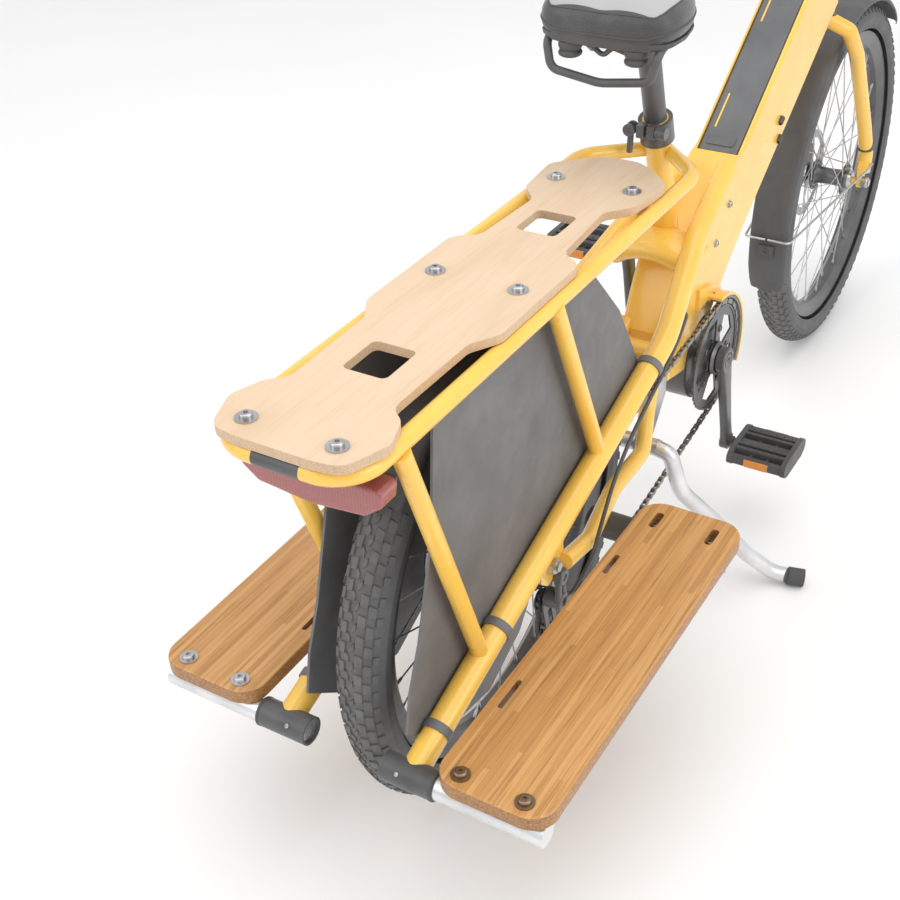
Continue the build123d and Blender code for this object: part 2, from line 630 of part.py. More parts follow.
for label, centre in (("guide_pulley", GUIDE_PULLEY), ("tension_pulley", TENSION_PULLEY)):
    tip = PULLEY_R - TOOTH_TRIM
    save(label, toothed_disc(centre, PULLEY_TEETH, tip, tip, 4.0, CHAIN_Y, 3.0, 4.3))

CAGE = [(4, 250), (28, 250), (46, 168), (42, 154), (18, 154), (14, 168), (2, 226)]
CAGE_OUT_Y = CHAIN_Y - CHAIN_HALF_WIDTH - 1.6
cage_outer = side_plate(CAGE, CAGE_OUT_Y, CAGE_OUT_Y - 2)
cage_inner = side_plate(CAGE, CHAIN_Y + CHAIN_HALF_WIDTH + 1.4, CHAIN_Y + CHAIN_HALF_WIDTH + 3.2)
pulley_pins = [rod((c[0], CAGE_OUT_Y, c[1]), (c[0], CHAIN_Y + CHAIN_HALF_WIDTH + 1.4, c[1]), 4)
               for c in (GUIDE_PULLEY, TENSION_PULLEY)]
knuckle = disc_y(14, CAGE_OUT_Y - 2, CAGE_OUT_Y - 26, 246, 13)
link = side_plate([(2, 246), (26, 240), (24, 284), (4, 284)], -76, -84)
save("derailleur", cage_outer, cage_inner, *pulley_pins, knuckle - link, link)


# ---- motor, cranks and chain guard --------------------------------------------------
SPINDLE_R = 10.0
motor = disc_y(BB_X, -36, 36, BB_Z, MOTOR_R)
motor += disc_y(BB_X, -46, 46, BB_Z, 44)
motor -= disc_y(BB_X, -60, 60, BB_Z, SPINDLE_R + 0.4)
save("motor_housing", motor)

GUARD_INNER, GUARD_OUTER = 95.0, 99.0
guard_band = arc_band((BB_X, BB_Z), GUARD_INNER, GUARD_OUTER, -30, 92, -44, -62)
guard_web = arc_band((BB_X, BB_Z), GUARD_INNER - 4, GUARD_OUTER, 20, 92, -41.5, -44)
GUARD_TAB = [(512, 392), (512, 424), (560, 412), (592, 396), (604, 376), (596, 370), (560, 394)]
guard_tab = side_plate(GUARD_TAB, -36, -41.5)
save("chain_guard", guard_band, guard_web, guard_tab)

ARM_Y = (64.0, 78.0)
PEDAL_Y = (90.0, 182.0)
PEDAL_AXLE_R = 7.0
spindle = rod((BB_X, -ARM_Y[1], BB_Z), (BB_X, ARM_Y[1], BB_Z), SPINDLE_R)
cranks = [spindle]
pedal_centres = {}
for s in SIDES:
    end = (BB_X - s * PEDAL_DROP[0] * CRANK_LENGTH, BB_Z - s * PEDAL_DROP[1] * CRANK_LENGTH)
    pedal_centres[s] = end
    across = (-PEDAL_DROP[1], PEDAL_DROP[0])
    blade = [
        (BB_X + across[0] * 17, BB_Z + across[1] * 17),
        (end[0] + across[0] * 12, end[1] + across[1] * 12),
        (end[0] - across[0] * 12, end[1] - across[1] * 12),
        (BB_X - across[0] * 17, BB_Z - across[1] * 17),
    ]
    arm = side_plate(blade, s * ARM_Y[0], s * ARM_Y[1])
    arm += disc_y(BB_X, s * ARM_Y[0], s * ARM_Y[1], BB_Z, 20)
    arm += disc_y(end[0], s * ARM_Y[0], s * ARM_Y[1], end[1], 14)
    axle = rod((end[0], s * ARM_Y[0], end[1]), (end[0], s * (PEDAL_Y[1] - 6), end[1]), PEDAL_AXLE_R)
    cranks += [arm - spindle - axle, axle]
save("crank_arms", *cranks)


def make_pedal(side):
    """Box pedal with a hole for its axle and slots through its faces."""
    x, z = pedal_centres[side]
    ys = sorted(side * y for y in PEDAL_Y)
    outline = [(x - 48, z - 5), (x - 48, z + 5), (x - 34, z + 15), (x + 34, z + 15), (x + 48, z + 5),
               (x + 48, z - 5), (x + 34, z - 15), (x - 34, z - 15)]
    body = side_plate(outline, *ys)
    for dx in (-30, 30):
        body -= box((x + dx - 10, x + dx + 10), (ys[0] + 12, ys[1] - 12), (z - 20, z + 20))
    for dx in (-14.5, 14.5):
        body -= box((x + dx - 2.5, x + dx + 2.5), (ys[0] + 12, ys[1] - 12), (z - 20, z + 20))
    bore = rod((x, side * (PEDAL_Y[0] - 5), z), (x, side * (PEDAL_Y[1] - 5.5), z), PEDAL_AXLE_R + 0.4)
    return body - bore


save("pedal_left", make_pedal(1))
save("pedal_right", make_pedal(-1))


# ---- rear caliper and shift cable ---------------------------------------------------
def make_caliper(centre, y_inner, y_outer, disc_y0):
    """Two-sided brake caliper with a slot for the disc."""
    x, z = centre
    body = box((x - 24, x + 24), (y_inner, y_outer), (z - 17, z + 17))
    body = fillet(body.edges().filter_by(Axis.Y), 9)
    return body - box((x - 40, x + 40), (disc_y0 - 1.0, disc_y0 + 3.0), (z - 40, z + 40))


REAR_CALIPER = (-46.0, 384.0)
rear_caliper = make_caliper(REAR_CALIPER, 35, 58, REAR_DISC_Y)
caliper_bridge = arc_band((0, AXLE_Z), 93, 99, 112, 130, 35, 58)
caliper_arm = side_plate([(-40, 372), (-26, 374), (-6, 334), (-20, 326)], 49, 58)
caliper_post = rod((-12, 58, 334), (-12, 68, 334), 6)
save("rear_caliper", rear_caliper + caliper_bridge + caliper_arm + caliper_post)

CABLE_OD = 5.0
CABLE_PATH = [(424, -52, 436), (392, -71, 452), (340, -84, 452), (286, -90, 436), (226, -92, 415),
              (170, -93, 390), (124, -94, 356), (90, -95, 314), (64, -94, 272), (36, -82, 240)]


def cord_radii(points):
    """As large a radius at each corner as its two runs allow."""
    radii = []
    for before, at, after in zip(points, points[1:], points[2:]):
        a, b = Vector(*at) - Vector(*before), Vector(*after) - Vector(*at)
        turn = radians(a.get_angle(b))
        radii.append(0.45 * min(a.length, b.length) / (sin(turn / 2) / cos(turn / 2)))
    return radii


save("shift_cable", tube(CABLE_PATH, cord_radii(CABLE_PATH), CABLE_OD))


# ---- kickstand ----------------------------------------------------------------------
LEG_PATH = [(STAND_X, 52, STAND_Z), (STAND_X, 75, STAND_Z - 5), (361, 90, 190), (394, 128, 132),
            (430, 172, 60), (456, 208, 18), (470, 246, 13.8)]
LEG_RADII = [14, 55, 90, 90, 50]
LEG_OD = 23.0
FOOT_WALL = 1.9            # of the rubber cup on each leg's end
FOOT_GRIP = 20.0           # how far the cup reaches up the leg
FOOT_SOLE = 4.0            # rubber past the leg's end
pivot_tube = rod((STAND_X, -58, STAND_Z), (STAND_X, 58, STAND_Z), 12)
stand = pivot_tube
feet = []
for s in SIDES:
    stand += tube(mirrored(LEG_PATH, s), LEG_RADII, LEG_OD)
for s in SIDES:
    knee, tip = (Vector(*p) for p in mirrored(LEG_PATH[-2:], s))
    along = (tip - knee).normalized()
    cup = rod(tip - along * FOOT_GRIP, tip + along * FOOT_SOLE, LEG_OD / 2 + FOOT_WALL)
    feet.append(cup - rod(tip - along * (FOOT_GRIP + 1), tip, LEG_OD / 2))
save("kickstand", stand, *feet)

CHEEK = [(424, 345), (424, 302), (374, 240), (342, 240), (334, 258), (344, 276), (372, 286), (404, 345)]
bracket_cheeks = side_plate(CHEEK, 26, 34) + side_plate(CHEEK, -26, -34)
BRACKET_WEB = [(424, 345), (424, 320), (396, 300), (388, 312), (404, 345)]
bracket_cheeks += side_plate(BRACKET_WEB, -26, 26)
bracket_cheeks -= rod((STAND_X, -60, STAND_Z), (STAND_X, 60, STAND_Z), 12.35)
save("kickstand_bracket", bracket_cheeks - down_tube)


# ---- fork and front end -------------------------------------------------------------
BLADE_PATH = [(1060, 10, 652), (1082, 48, 628), (1120, 54, 580), (1222, 57, 418), (1252, 58, 362),
              (1249, 58, 326)]
BLADE_RADII = [14, 60, 160, 28]
FORK_END = [(1230, 336), (1236, 300), (1250, 296), (1256, 312), (1264, 336), (1260, 350), (1236, 350)]
steerer = rod(steer_point(650), steer_point(STEM_TOP - 4), 14.3)
crown_race = rod(steer_point(651), steer_point(HEAD_BOTTOM - 10), 25)
blades = []
fork_ends = []
for s in SIDES:
    blades.append(tube(mirrored(BLADE_PATH, s), BLADE_RADII, 25))
    plate = side_plate(FORK_END, s * 52, s * 60) - disc_y(WHEELBASE, -80, 80, AXLE_Z, 6.2)
    fork_ends.append(plate)
fork = steerer + crown_race + blades[0] + blades[1]
fork_ends = [plate - fork for plate in fork_ends]
front_axle = rod((WHEELBASE, -74, AXLE_Z), (WHEELBASE, 74, AXLE_Z), 6.0)
front_nuts = []
for s in SIDES:
    nut_plane = Plane((WHEELBASE, s * 60, AXLE_Z), z_dir=(0, s, 0))
    front_nuts.append(extrude(nut_plane * RegularPolygon(11, 6), 8) - front_axle)
save("fork", fork, *fork_ends, front_axle, *front_nuts)

save("front_fender", make_fender(FRONT_AXLE, *FRONT_FENDER_ARC))
STAY_ANGLE = 178
stay_wires = []
for s in SIDES:
    top = on_circle((WHEELBASE, AXLE_Z), FENDER_R + 5, STAY_ANGLE)
    route = [(WHEELBASE + 8, s * 72.8, AXLE_Z + 34), (WHEELBASE - 12, s * 72.8, AXLE_Z + 32),
             (top[0], s * 38, top[1]), (top[0] - 1, s * 2, top[1] + 1)]
    stay_wires.append(tube(route, [8, 8], 4))
save("fender_stays", *stay_wires)

FRONT_CALIPER = (1196.0, 362.0)
FRONT_CALIPER_Y = (29.5, 45)
front_caliper = make_caliper(FRONT_CALIPER, *FRONT_CALIPER_Y, FRONT_DISC_Y)
front_caliper += arc_band((WHEELBASE, AXLE_Z), 83, 89, 118, 140, *FRONT_CALIPER_Y)
save("front_caliper", front_caliper)

BAR_CENTRE = (988.0, 0.0, 1010.0)
GRIP_START, BAR_END = Vector(930, 210, 1052), Vector(856, 345, 1054)
BAR_PATH = [BAR_CENTRE, (988, 60, 1012), (978, 120, 1042), tuple(GRIP_START), tuple(BAR_END)]
BAR_RADII = [60, 70, 120]
BAR_TUBE_OD, BAR_MIDDLE_OD = 22.2, 31.8
bar_solid = rod((BAR_CENTRE[0], -40, BAR_CENTRE[2]), (BAR_CENTRE[0], 40, BAR_CENTRE[2]), BAR_MIDDLE_OD / 2)
for s in SIDES:
    bar_solid += tube(mirrored(BAR_PATH, s), BAR_RADII, BAR_TUBE_OD)
grip_dir = (BAR_END - GRIP_START).normalized()
GRIP_LENGTH = (BAR_END - GRIP_START).length + 3


def bar_spot(along, side):
    """A point on the straight grip section, measured outwards from its inner end."""
    p = GRIP_START + grip_dir * along
    return (p.X, side * p.Y, p.Z)


grips = [rod(bar_spot(34, s), bar_spot(GRIP_LENGTH, s), 16.5) - bar_solid for s in SIDES]

column = rod(steer_point(HEAD_TOP + 10), steer_point(STEM_TOP), 19)
extension = rod(steer_point(STEM_TOP - 22), BAR_CENTRE, 17)
clamp_barrel = rod((BAR_CENTRE[0], -23, BAR_CENTRE[2]), (BAR_CENTRE[0], 23, BAR_CENTRE[2]), 22)
stem = (column + extension + clamp_barrel) - bar_solid - steerer
save("handlebar", bar_solid)
save("grips", *grips)
save("stem", stem)


control_bodies = []
lever_pivots = {}
forward = Vector(grip_dir.Y, -grip_dir.X, 0).normalized()
for s in SIDES:
    clamp = rod(bar_spot(8, s), bar_spot(28, s), 17)
    pivot = GRIP_START + grip_dir * 20 + forward * 42 + Vector(0, 0, -4)
    pivot = (pivot.X, s * pivot.Y, pivot.Z)
    lever_pivots[s] = pivot
    arm = rod(bar_spot(18, s), pivot, 8)
    ear_up = Pos(pivot[0], pivot[1], pivot[2] + 8) * Cylinder(10, 4)
    ear_down = Pos(pivot[0], pivot[1], pivot[2] - 8) * Cylinder(10, 4)
    hub_space = Pos(*pivot) * Cylinder(11.5, 12)
    pin = Pos(*pivot) * Cylinder(2.6, 20)
    body = clamp + (arm - hub_space) + ear_up + ear_down
    control_bodies.append(body - bar_solid + pin)
lever_blades = {}
for s in SIDES:
    px, py, pz = lever_pivots[s]
    tip = Vector(px, abs(py), pz) + grip_dir * 112 + forward * 8
    knee = Vector(px, abs(py), pz) + grip_dir * 30 + forward * 8
    hub = Pos(px, py, pz) * (Cylinder(9.5, 11) - Cylinder(2.9, 11))
    blade = tube([(px, py, pz), (knee.X, s * knee.Y, knee.Z), (tip.X, s * tip.Y, tip.Z)], [60], 10)
    blade -= Pos(px, py, pz) * Cylinder(9.5, 30)
    lever_blades[s] = hub + blade
save("brake_lever_left", lever_blades[1])
save("brake_lever_right", lever_blades[-1])

shift_x, shift_y, shift_z = bar_spot(-22, -1)
shift_body = rod(bar_spot(-34, -1), bar_spot(-12, -1), 16) - bar_solid
shift_pod = Pos(shift_x, shift_y, shift_z - 20) * Cylinder(15, 12)
shift_pin = Pos(shift_x, shift_y, shift_z - 31) * Cylinder(3, 12)
shift_body += shift_pod - bar_solid
shift_pad = box((shift_x - 46, shift_x - 6), (shift_y - 7, shift_y + 7), (shift_z - 35, shift_z - 29))
shift_pad = fillet(shift_pad.edges().filter_by(Axis.Z), 5)
shift_hub = Pos(shift_x, shift_y, shift_z - 32) * Cylinder(9, 7)
shift_hole = Pos(shift_x, shift_y, shift_z - 32) * Cylinder(3.3, 30)
save("control_bodies", *control_bodies, shift_body, shift_pin)
save("shift_lever", shift_pad + shift_hub - shift_hole)

lamp = rod((1010, 0, 962), (1052, 0, 960), 24) + rod((1052, 0, 960), (1058, 0, 959.7), 21)
lamp_arm = rod((986, 0, 968), (1012, 0, 962), 6) - column
save("headlight", lamp, lamp_arm - lamp)


# ---- seat ---------------------------------------------------------------------------
POST_TOP = 826.0
post = rod(seat_point(556), seat_point(POST_TOP - 10), SEATPOST_R)
RAIL_SPREAD = 22.0
SADDLE_RAIL_Z = 826.0
collar = rod(seat_point(670), seat_point(700.5), 22) - rod(seat_point(660), seat_point(710), SEAT_TUBE_OD / 2)
collar -= box((300, 392), (-2, 2), (640, 730))
lug_x, _, lug_z = seat_point(691)
lugs = box((lug_x - 34, lug_x - 18), (-12, 12), (lug_z - 8, lug_z + 8))
lugs -= box((300, 500), (-2, 2), (600, 800))
collar += lugs - rod(seat_point(650), seat_point(720), SEAT_TUBE_OD / 2 + 1)
skewer_x = lug_x - 27
skewer = rod((skewer_x, -26, lug_z), (skewer_x, 16, lug_z), 2.6)
knob = rod((skewer_x, -26, lug_z), (skewer_x, -13, lug_z), 8)

LEVER_PIVOT_Y = 22.0
LEVER_REACH = 31.0
cam_post = rod((skewer_x, 16, lug_z), (skewer_x, LEVER_PIVOT_Y + 4, lug_z), 4)
pin_ends = ((skewer_x - 8, LEVER_PIVOT_Y, lug_z), (skewer_x + 8, LEVER_PIVOT_Y, lug_z))
lever_pin = rod(*pin_ends, 2.4)
save("seat_clamp", collar - skewer, skewer + knob + cam_post + lever_pin)
lever_hub = rod(*pin_ends, 8)
lever_hub -= box((skewer_x - 4.6, skewer_x + 4.6), (0, 60), (lug_z - 6.5, lug_z + 20))
lever_hub -= rod(*pin_ends, 2.8)
lever_arm = rod((skewer_x, LEVER_PIVOT_Y, lug_z - 7.2), (skewer_x, LEVER_PIVOT_Y + 1, lug_z - LEVER_REACH), 4)
save("seat_clamp_lever", lever_hub + lever_arm)

post_x = seat_point(POST_TOP)[0]
head_block = box((post_x - 22, post_x + 22), (-27, 27), (POST_TOP - 16, POST_TOP + 5))
head_block = fillet(head_block.edges().filter_by(Axis.Y), 6)
SADDLE_RAIL_PATH = [(262, 16, 838), (284, RAIL_SPREAD, SADDLE_RAIL_Z), (440, RAIL_SPREAD - 2, SADDLE_RAIL_Z),
                    (482, 12, 840)]
SADDLE_RAIL_BENDS = [16, 40]
SADDLE_RAIL_OD = 7.0
saddle_rails = [tube(mirrored(SADDLE_RAIL_PATH, s), SADDLE_RAIL_BENDS, SADDLE_RAIL_OD) for s in SIDES]
rear_loop = tube([(262, 14, 838), (266, 0, 826), (262, -14, 838)], [6], SADDLE_RAIL_OD - 1)
rear_loop = largest(rear_loop - saddle_rails[0] - saddle_rails[1])
HANDLE_PATH = [(300, 66, 841), (262, 70, 840), (258, 62, 806), (258, 0, 797), (258, -62, 806),
               (262, -70, 840), (300, -66, 841)]
handle = tube(HANDLE_PATH, [14, 14, 60, 14, 14], 10)
rail_grooves = [tube(mirrored(SADDLE_RAIL_PATH, s), SADDLE_RAIL_BENDS, SADDLE_RAIL_OD + 0.2) for s in SIDES]
save("seatpost", (post + head_block) - rail_grooves)
save("saddle_rails", *saddle_rails, rear_loop, handle)


def saddle_outline(grow):
    """Plan of the saddle: wide rounded rear, narrow nose, grown outwards by an amount."""
    half = [(251 - grow, 50), (259, 75 + grow), (292, 87 + grow), (340, 80 + grow), (395, 50 + grow),
            (445, 31 + grow), (495, 24 + grow), (520 + grow, 12)]
    through = [Vector(250 - grow, 0, 0)] + [Vector(x, y, 0) for x, y in half] + [Vector(525 + grow, 0, 0)]
    left = Edge.make_spline(through, tangents=[Vector(0, 1, 0), Vector(0, -1, 0)])
    return Face(Wire([left, left.mirror(Plane.XZ)]))


SADDLE_Z0, SADDLE_Z1, SADDLE_Z2 = 838.0, 846.0, 893.0
base = Solid.extrude(Pos(0, 0, SADDLE_Z0) * saddle_outline(-6.0), Vector(0, 0, SADDLE_Z1 - SADDLE_Z0))
pad_layers = ((SADDLE_Z1, 876.0, 0.0), (876.0, 887.0, -6.0), (887.0, SADDLE_Z2, -14.0))
layers = []
for z0, z1, grow in pad_layers:
    layers.append(Solid.extrude(Pos(0, 0, z0) * saddle_outline(grow), Vector(0, 0, z1 - z0)))
pad = layers[0] + layers[1] + layers[2]
elastomers = [Pos(266, s * 41, SADDLE_Z0 - 8.5) * Cylinder(14, 17) for s in SIDES]
for cut in saddle_rails + [rear_loop, handle]:
    base -= cut
elastomers = [elastomer - saddle_rails - [handle] for elastomer in elastomers]
save("saddle_base", base, *elastomers)
save("saddle_pad", pad)
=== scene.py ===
from math import acos, atan2, cos, degrees, hypot, pi, radians, sin, sqrt, tau

import bmesh
import bpy
from mathutils import Matrix, Vector
from mathutils.bvhtree import BVHTree


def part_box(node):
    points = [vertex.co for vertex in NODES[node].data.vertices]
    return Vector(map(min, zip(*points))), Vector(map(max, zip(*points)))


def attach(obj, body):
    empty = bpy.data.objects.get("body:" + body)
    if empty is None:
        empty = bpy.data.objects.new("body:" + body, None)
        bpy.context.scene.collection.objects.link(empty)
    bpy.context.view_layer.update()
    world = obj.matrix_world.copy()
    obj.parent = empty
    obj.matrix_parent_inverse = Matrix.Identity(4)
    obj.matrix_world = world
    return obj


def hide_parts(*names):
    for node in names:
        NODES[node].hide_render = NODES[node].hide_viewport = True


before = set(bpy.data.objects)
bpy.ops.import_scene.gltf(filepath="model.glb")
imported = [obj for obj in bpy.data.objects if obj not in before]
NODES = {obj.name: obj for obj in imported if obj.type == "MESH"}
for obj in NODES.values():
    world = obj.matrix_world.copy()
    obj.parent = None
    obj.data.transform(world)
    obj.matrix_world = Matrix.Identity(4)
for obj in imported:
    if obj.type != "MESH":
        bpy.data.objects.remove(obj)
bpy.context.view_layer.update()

# Cargo bicycle. Lengths are in millimetres from the point on the ground under the rear
# axle, +X forward, +Y left, +Z up, until spot() turns them into the frame's metres.

MM = 0.001


def middle(node):
    low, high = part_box(node)
    return (low + high) / 2


def half_size(node):
    low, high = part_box(node)
    return (high - low) / 2


ORIGIN_X = middle("rear_rim").x
SIDES = (-1, 1)


def spot(point):
    """A place in millimetres, as the frame's metres."""
    return Vector((point[0] * MM + ORIGIN_X, point[1] * MM, point[2] * MM))


def in_mm(vector):
    """The opposite of spot()."""
    return Vector(((vector.x - ORIGIN_X) / MM, vector.y / MM, vector.z / MM))


REAR_AXLE = in_mm(middle("rear_rim"))
FRONT_AXLE = in_mm(middle("front_rim"))
CRANK = in_mm(middle("chainring"))
STAND = Vector((352, 0, 258))
WHEEL_R = half_size("rear_tyre").z / MM
CHAIN_Y = in_mm(middle("chain")).y
AXLE_Z = REAR_AXLE.z


# ---- building meshes ----------------------------------------------------------------
class Piece:
    """Collects surfaces in millimetres and turns them into one object."""

    def __init__(self, name):
        self.name = name
        self.bm = bmesh.new()

    def ring(self, points):
        return [self.bm.verts.new(spot(p)) for p in points]

    def bridge(self, a, b, closed=True):
        count = len(a) if closed else len(a) - 1
        for i in range(count):
            j = (i + 1) % len(a)
            self.bm.faces.new((a[i], a[j], b[j], b[i]))

    def loft(self, rings, capped=True, looped=False):
        """A skin through rings of points."""
        made = [self.ring(points) for points in rings]
        for a, b in zip(made, made[1:]):
            self.bridge(a, b)
        if looped:
            self.bridge(made[-1], made[0])
        elif capped:
            self.bm.faces.new(made[0])
            self.bm.faces.new(made[-1])

    def tube(self, points, radius, sides=16):
        """A round bar through points, with one radius or one for each point."""
        points = [Vector(p) for p in points]
        radii = radius if isinstance(radius, (list, tuple)) else [radius] * len(points)
        heading = (points[1] - points[0]).normalized()
        across = heading.orthogonal().normalized()
        rings = []
        for i, p in enumerate(points):
            before = points[max(i - 1, 0)]
            after = points[min(i + 1, len(points) - 1)]
            turned = (after - before).normalized()
            across = (across - turned * across.dot(turned)).normalized()
            other = turned.cross(across)
            angles = [tau * k / sides for k in range(sides)]
            rings.append([p + across * cos(a) * radii[i] + other * sin(a) * radii[i] for a in angles])
        self.loft(rings)

    def turned(self, centre, axis, profile, steps=32, looped=False):
        """A solid of revolution from (radius, distance along the axis) points."""
        axis = Vector(axis).normalized()
        u = axis.orthogonal().normalized()
        v = axis.cross(u)
        centre = Vector(centre)
        rings = []
        for radius, along in profile:
            angles = [tau * k / steps for k in range(steps)]
            rings.append([centre + axis * along + (u * cos(a) + v * sin(a)) * radius for a in angles])
        self.loft(rings, looped=looped)

    def plate(self, outline, origin, u, v, thickness):
        """A flat plate from an outline of (along u, along v) points."""
        origin, u, v = Vector(origin), Vector(u), Vector(v)
        up = u.cross(v).normalized() * thickness
        low = [origin + u * a + v * b for a, b in outline]
        self.loft([low, [p + up for p in low]])

    def block(self, low, high):
        """A block between two corners."""
        xs, ys, zs = zip(low, high)
        base = [(xs[0], ys[0]), (xs[1], ys[0]), (xs[1], ys[1]), (xs[0], ys[1])]
        self.loft([[(x, y, z) for x, y in base] for z in zs])

    def finish(self, body, slot, material, replaced=(), soft_edge=0.0, crease=35, levels=0):
        bmesh.ops.recalc_face_normals(self.bm, faces=self.bm.faces)
        mesh = bpy.data.meshes.new(self.name)
        self.bm.to_mesh(mesh)
        self.bm.free()
        mesh.shade_smooth()
        mesh.set_sharp_from_angle(angle=radians(crease))
        mesh.materials.append(material)
        piece = bpy.data.objects.new(self.name, mesh)
        bpy.context.scene.collection.objects.link(piece)
        if soft_edge:
            round_edges(piece, soft_edge)
        if levels:
            subdivided = piece.modifiers.new("smooth form", "SUBSURF")
            subdivided.levels = levels
            subdivided.render_levels = levels
        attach(piece, body)
        if replaced:
            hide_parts(*replaced)
        return piece


def round_edges(piece, width, segments=2):
    """A small rounding on every sharp edge."""
    rounding = piece.modifiers.new("soft edges", "BEVEL")
    rounding.width = width * MM
    rounding.segments = segments
    rounding.limit_method = "ANGLE"
    rounding.angle_limit = radians(40)
    rounding.harden_normals = True
    rounding.use_clamp_overlap = True


def circle_points(centre, radius, count, start=0.0, end=360.0):
    """Points on an arc in the x, z plane, as (x, z)."""
    whole = abs(end - start) >= 360
    steps = count if whole else count - 1
    angles = [radians(start + (end - start) * k / steps) for k in range(count)]
    return [(centre[0] + radius * cos(a), centre[1] + radius * sin(a)) for a in angles]


def polar(axle, radius, angle, y):
    """A place at an angle round an axle parallel to Y."""
    a = radians(angle)
    return Vector((axle[0] + radius * cos(a), y, axle[2] + radius * sin(a)))


def bezier(points, count):
    """A smooth line through given points, as count places."""
    points = [Vector(p) for p in points]
    places = []
    spans = len(points) - 1
    for k in range(count):
        t = k / (count - 1) * spans
        i = min(int(t), spans - 1)
        f = t - i
        p0 = points[max(i - 1, 0)]
        p1, p2 = points[i], points[i + 1]
        p3 = points[min(i + 2, spans)]
        places.append(0.5 * (2 * p1 + (p2 - p0) * f + (2 * p0 - 5 * p1 + 4 * p2 - p3) * f * f
                             + (3 * p1 - p0 - 3 * p2 + p3) * f * f * f))
    return places


# ---- materials ----------------------------------------------------------------------
class Shade:
    """One procedural material, built from small node steps."""

    def __init__(self, name):
        self.material = bpy.data.materials.new(name)
        self.material.use_nodes = True
        self.tree = self.material.node_tree
        self.surface = self.tree.nodes["Principled BSDF"]
        self.place = self.node("ShaderNodeTexCoord").outputs["Object"]

    def node(self, kind, **settings):
        made = self.tree.nodes.new(kind)
        for key, value in settings.items():
            setattr(made, key, value)
        return made

    def feed(self, socket, value):
        """Links an output, or sets a plain value."""
        if isinstance(value, bpy.types.NodeSocket):
            self.tree.links.new(value, socket)
        else:
            socket.default_value = value

    def set(self, **values):
        """Sets the surface's own sockets, named with underscores for spaces."""
        for name, value in values.items():
            self.feed(self.surface.inputs[name.replace("_", " ")], value)

    def noise(self, scale, stretch=(1, 1, 1), detail=3.0, roughness=0.55, distortion=0.0):
        mapping = self.node("ShaderNodeMapping")
        self.feed(mapping.inputs["Vector"], self.place)
        mapping.inputs["Scale"].default_value = stretch
        noise = self.node("ShaderNodeTexNoise")
        self.feed(noise.inputs["Vector"], mapping.outputs["Vector"])
        noise.inputs["Scale"].default_value = scale
        noise.inputs["Detail"].default_value = detail
        noise.inputs["Roughness"].default_value = roughness
        noise.inputs["Distortion"].default_value = distortion
        return noise.outputs["Fac"]

    def cells(self, scale, stretch=(1, 1, 1), feature="F1"):
        mapping = self.node("ShaderNodeMapping")
        self.feed(mapping.inputs["Vector"], self.place)
        mapping.inputs["Scale"].default_value = stretch
        voronoi = self.node("ShaderNodeTexVoronoi", feature=feature)
        self.feed(voronoi.inputs["Vector"], mapping.outputs["Vector"])
        voronoi.inputs["Scale"].default_value = scale
        return voronoi

    def ramp(self, value, stops):
        """A colour for each range of a value, from (position, colour) stops."""
        ramp = self.node("ShaderNodeValToRGB")
        self.feed(ramp.inputs["Fac"], value)
        elements = ramp.color_ramp.elements
        while len(elements) < len(stops):
            elements.new(0.5)
        for element, (position, colour) in zip(elements, stops):
            element.position = position
            element.color = (*colour, 1)
        return ramp.outputs["Color"]

    def scaled(self, value, low, high, new_low, new_high):
        """A value's range moved to another."""
        made = self.node("ShaderNodeMapRange")
        for name, given in zip(("Value", "From Min", "From Max", "To Min", "To Max"),
                               (value, low, high, new_low, new_high)):
            self.feed(made.inputs[name], given)
        return made.outputs["Result"]

    def sums(self, operation, a, b=0.0):
        made = self.node("ShaderNodeMath", operation=operation)
        self.feed(made.inputs[0], a)
        self.feed(made.inputs[1], b)
        return made.outputs[0]

    def blend(self, factor, a, b, kind="MIX"):
        made = self.node("ShaderNodeMix", data_type="RGBA", blend_type=kind)
        self.feed(made.inputs[0], factor)
        self.feed(made.inputs[6], a if isinstance(a, bpy.types.NodeSocket) else (*a, 1))
        self.feed(made.inputs[7], b if isinstance(b, bpy.types.NodeSocket) else (*b, 1))
        return made.outputs[2]

    def bump(self, height, strength, distance):
        made = self.node("ShaderNodeBump")
        self.feed(made.inputs["Height"], height)
        made.inputs["Strength"].default_value = strength
        made.inputs["Distance"].default_value = distance * MM
        self.feed(self.surface.inputs["Normal"], made.outputs["Normal"])

    def axis(self, letter):
        """One object coordinate, in metres."""
        parts = self.node("ShaderNodeSeparateXYZ")
        self.feed(parts.inputs["Vector"], self.place)
        return parts.outputs[letter]

    def facing(self, letter):
        """One part of the surface's normal."""
        parts = self.node("ShaderNodeSeparateXYZ")
        self.feed(parts.inputs["Vector"], self.node("ShaderNodeNewGeometry").outputs["Normal"])
        return parts.outputs[letter]

    def beyond(self, letter, limit_mm, absolute=False, below=False):
        """1 where a coordinate passes a limit given in millimetres from the rear axle."""
        limit = limit_mm * MM + (ORIGIN_X if letter == "X" else 0.0)
        value = self.axis(letter)
        if absolute:
            value = self.sums("ABSOLUTE", value)
        return self.sums("LESS_THAN" if below else "GREATER_THAN", value, limit)


PAINT = (0.93, 0.56, 0.085)
PAINT_DEEP = (0.89, 0.50, 0.06)
PAINT_LIGHT = (0.95, 0.61, 0.12)
BLACK = (0.075, 0.075, 0.077)
SOFT_BLACK = (0.090, 0.090, 0.093)
SILVER = (0.72, 0.72, 0.73)
STEEL = (0.52, 0.52, 0.53)
DARK_STEEL = (0.16, 0.16, 0.17)
CHAIN_STEEL = (0.30, 0.28, 0.26)
BRONZE = (0.30, 0.21, 0.14)


def tinted(colour, factor):
    return tuple(min(c * factor, 1.0) for c in colour)


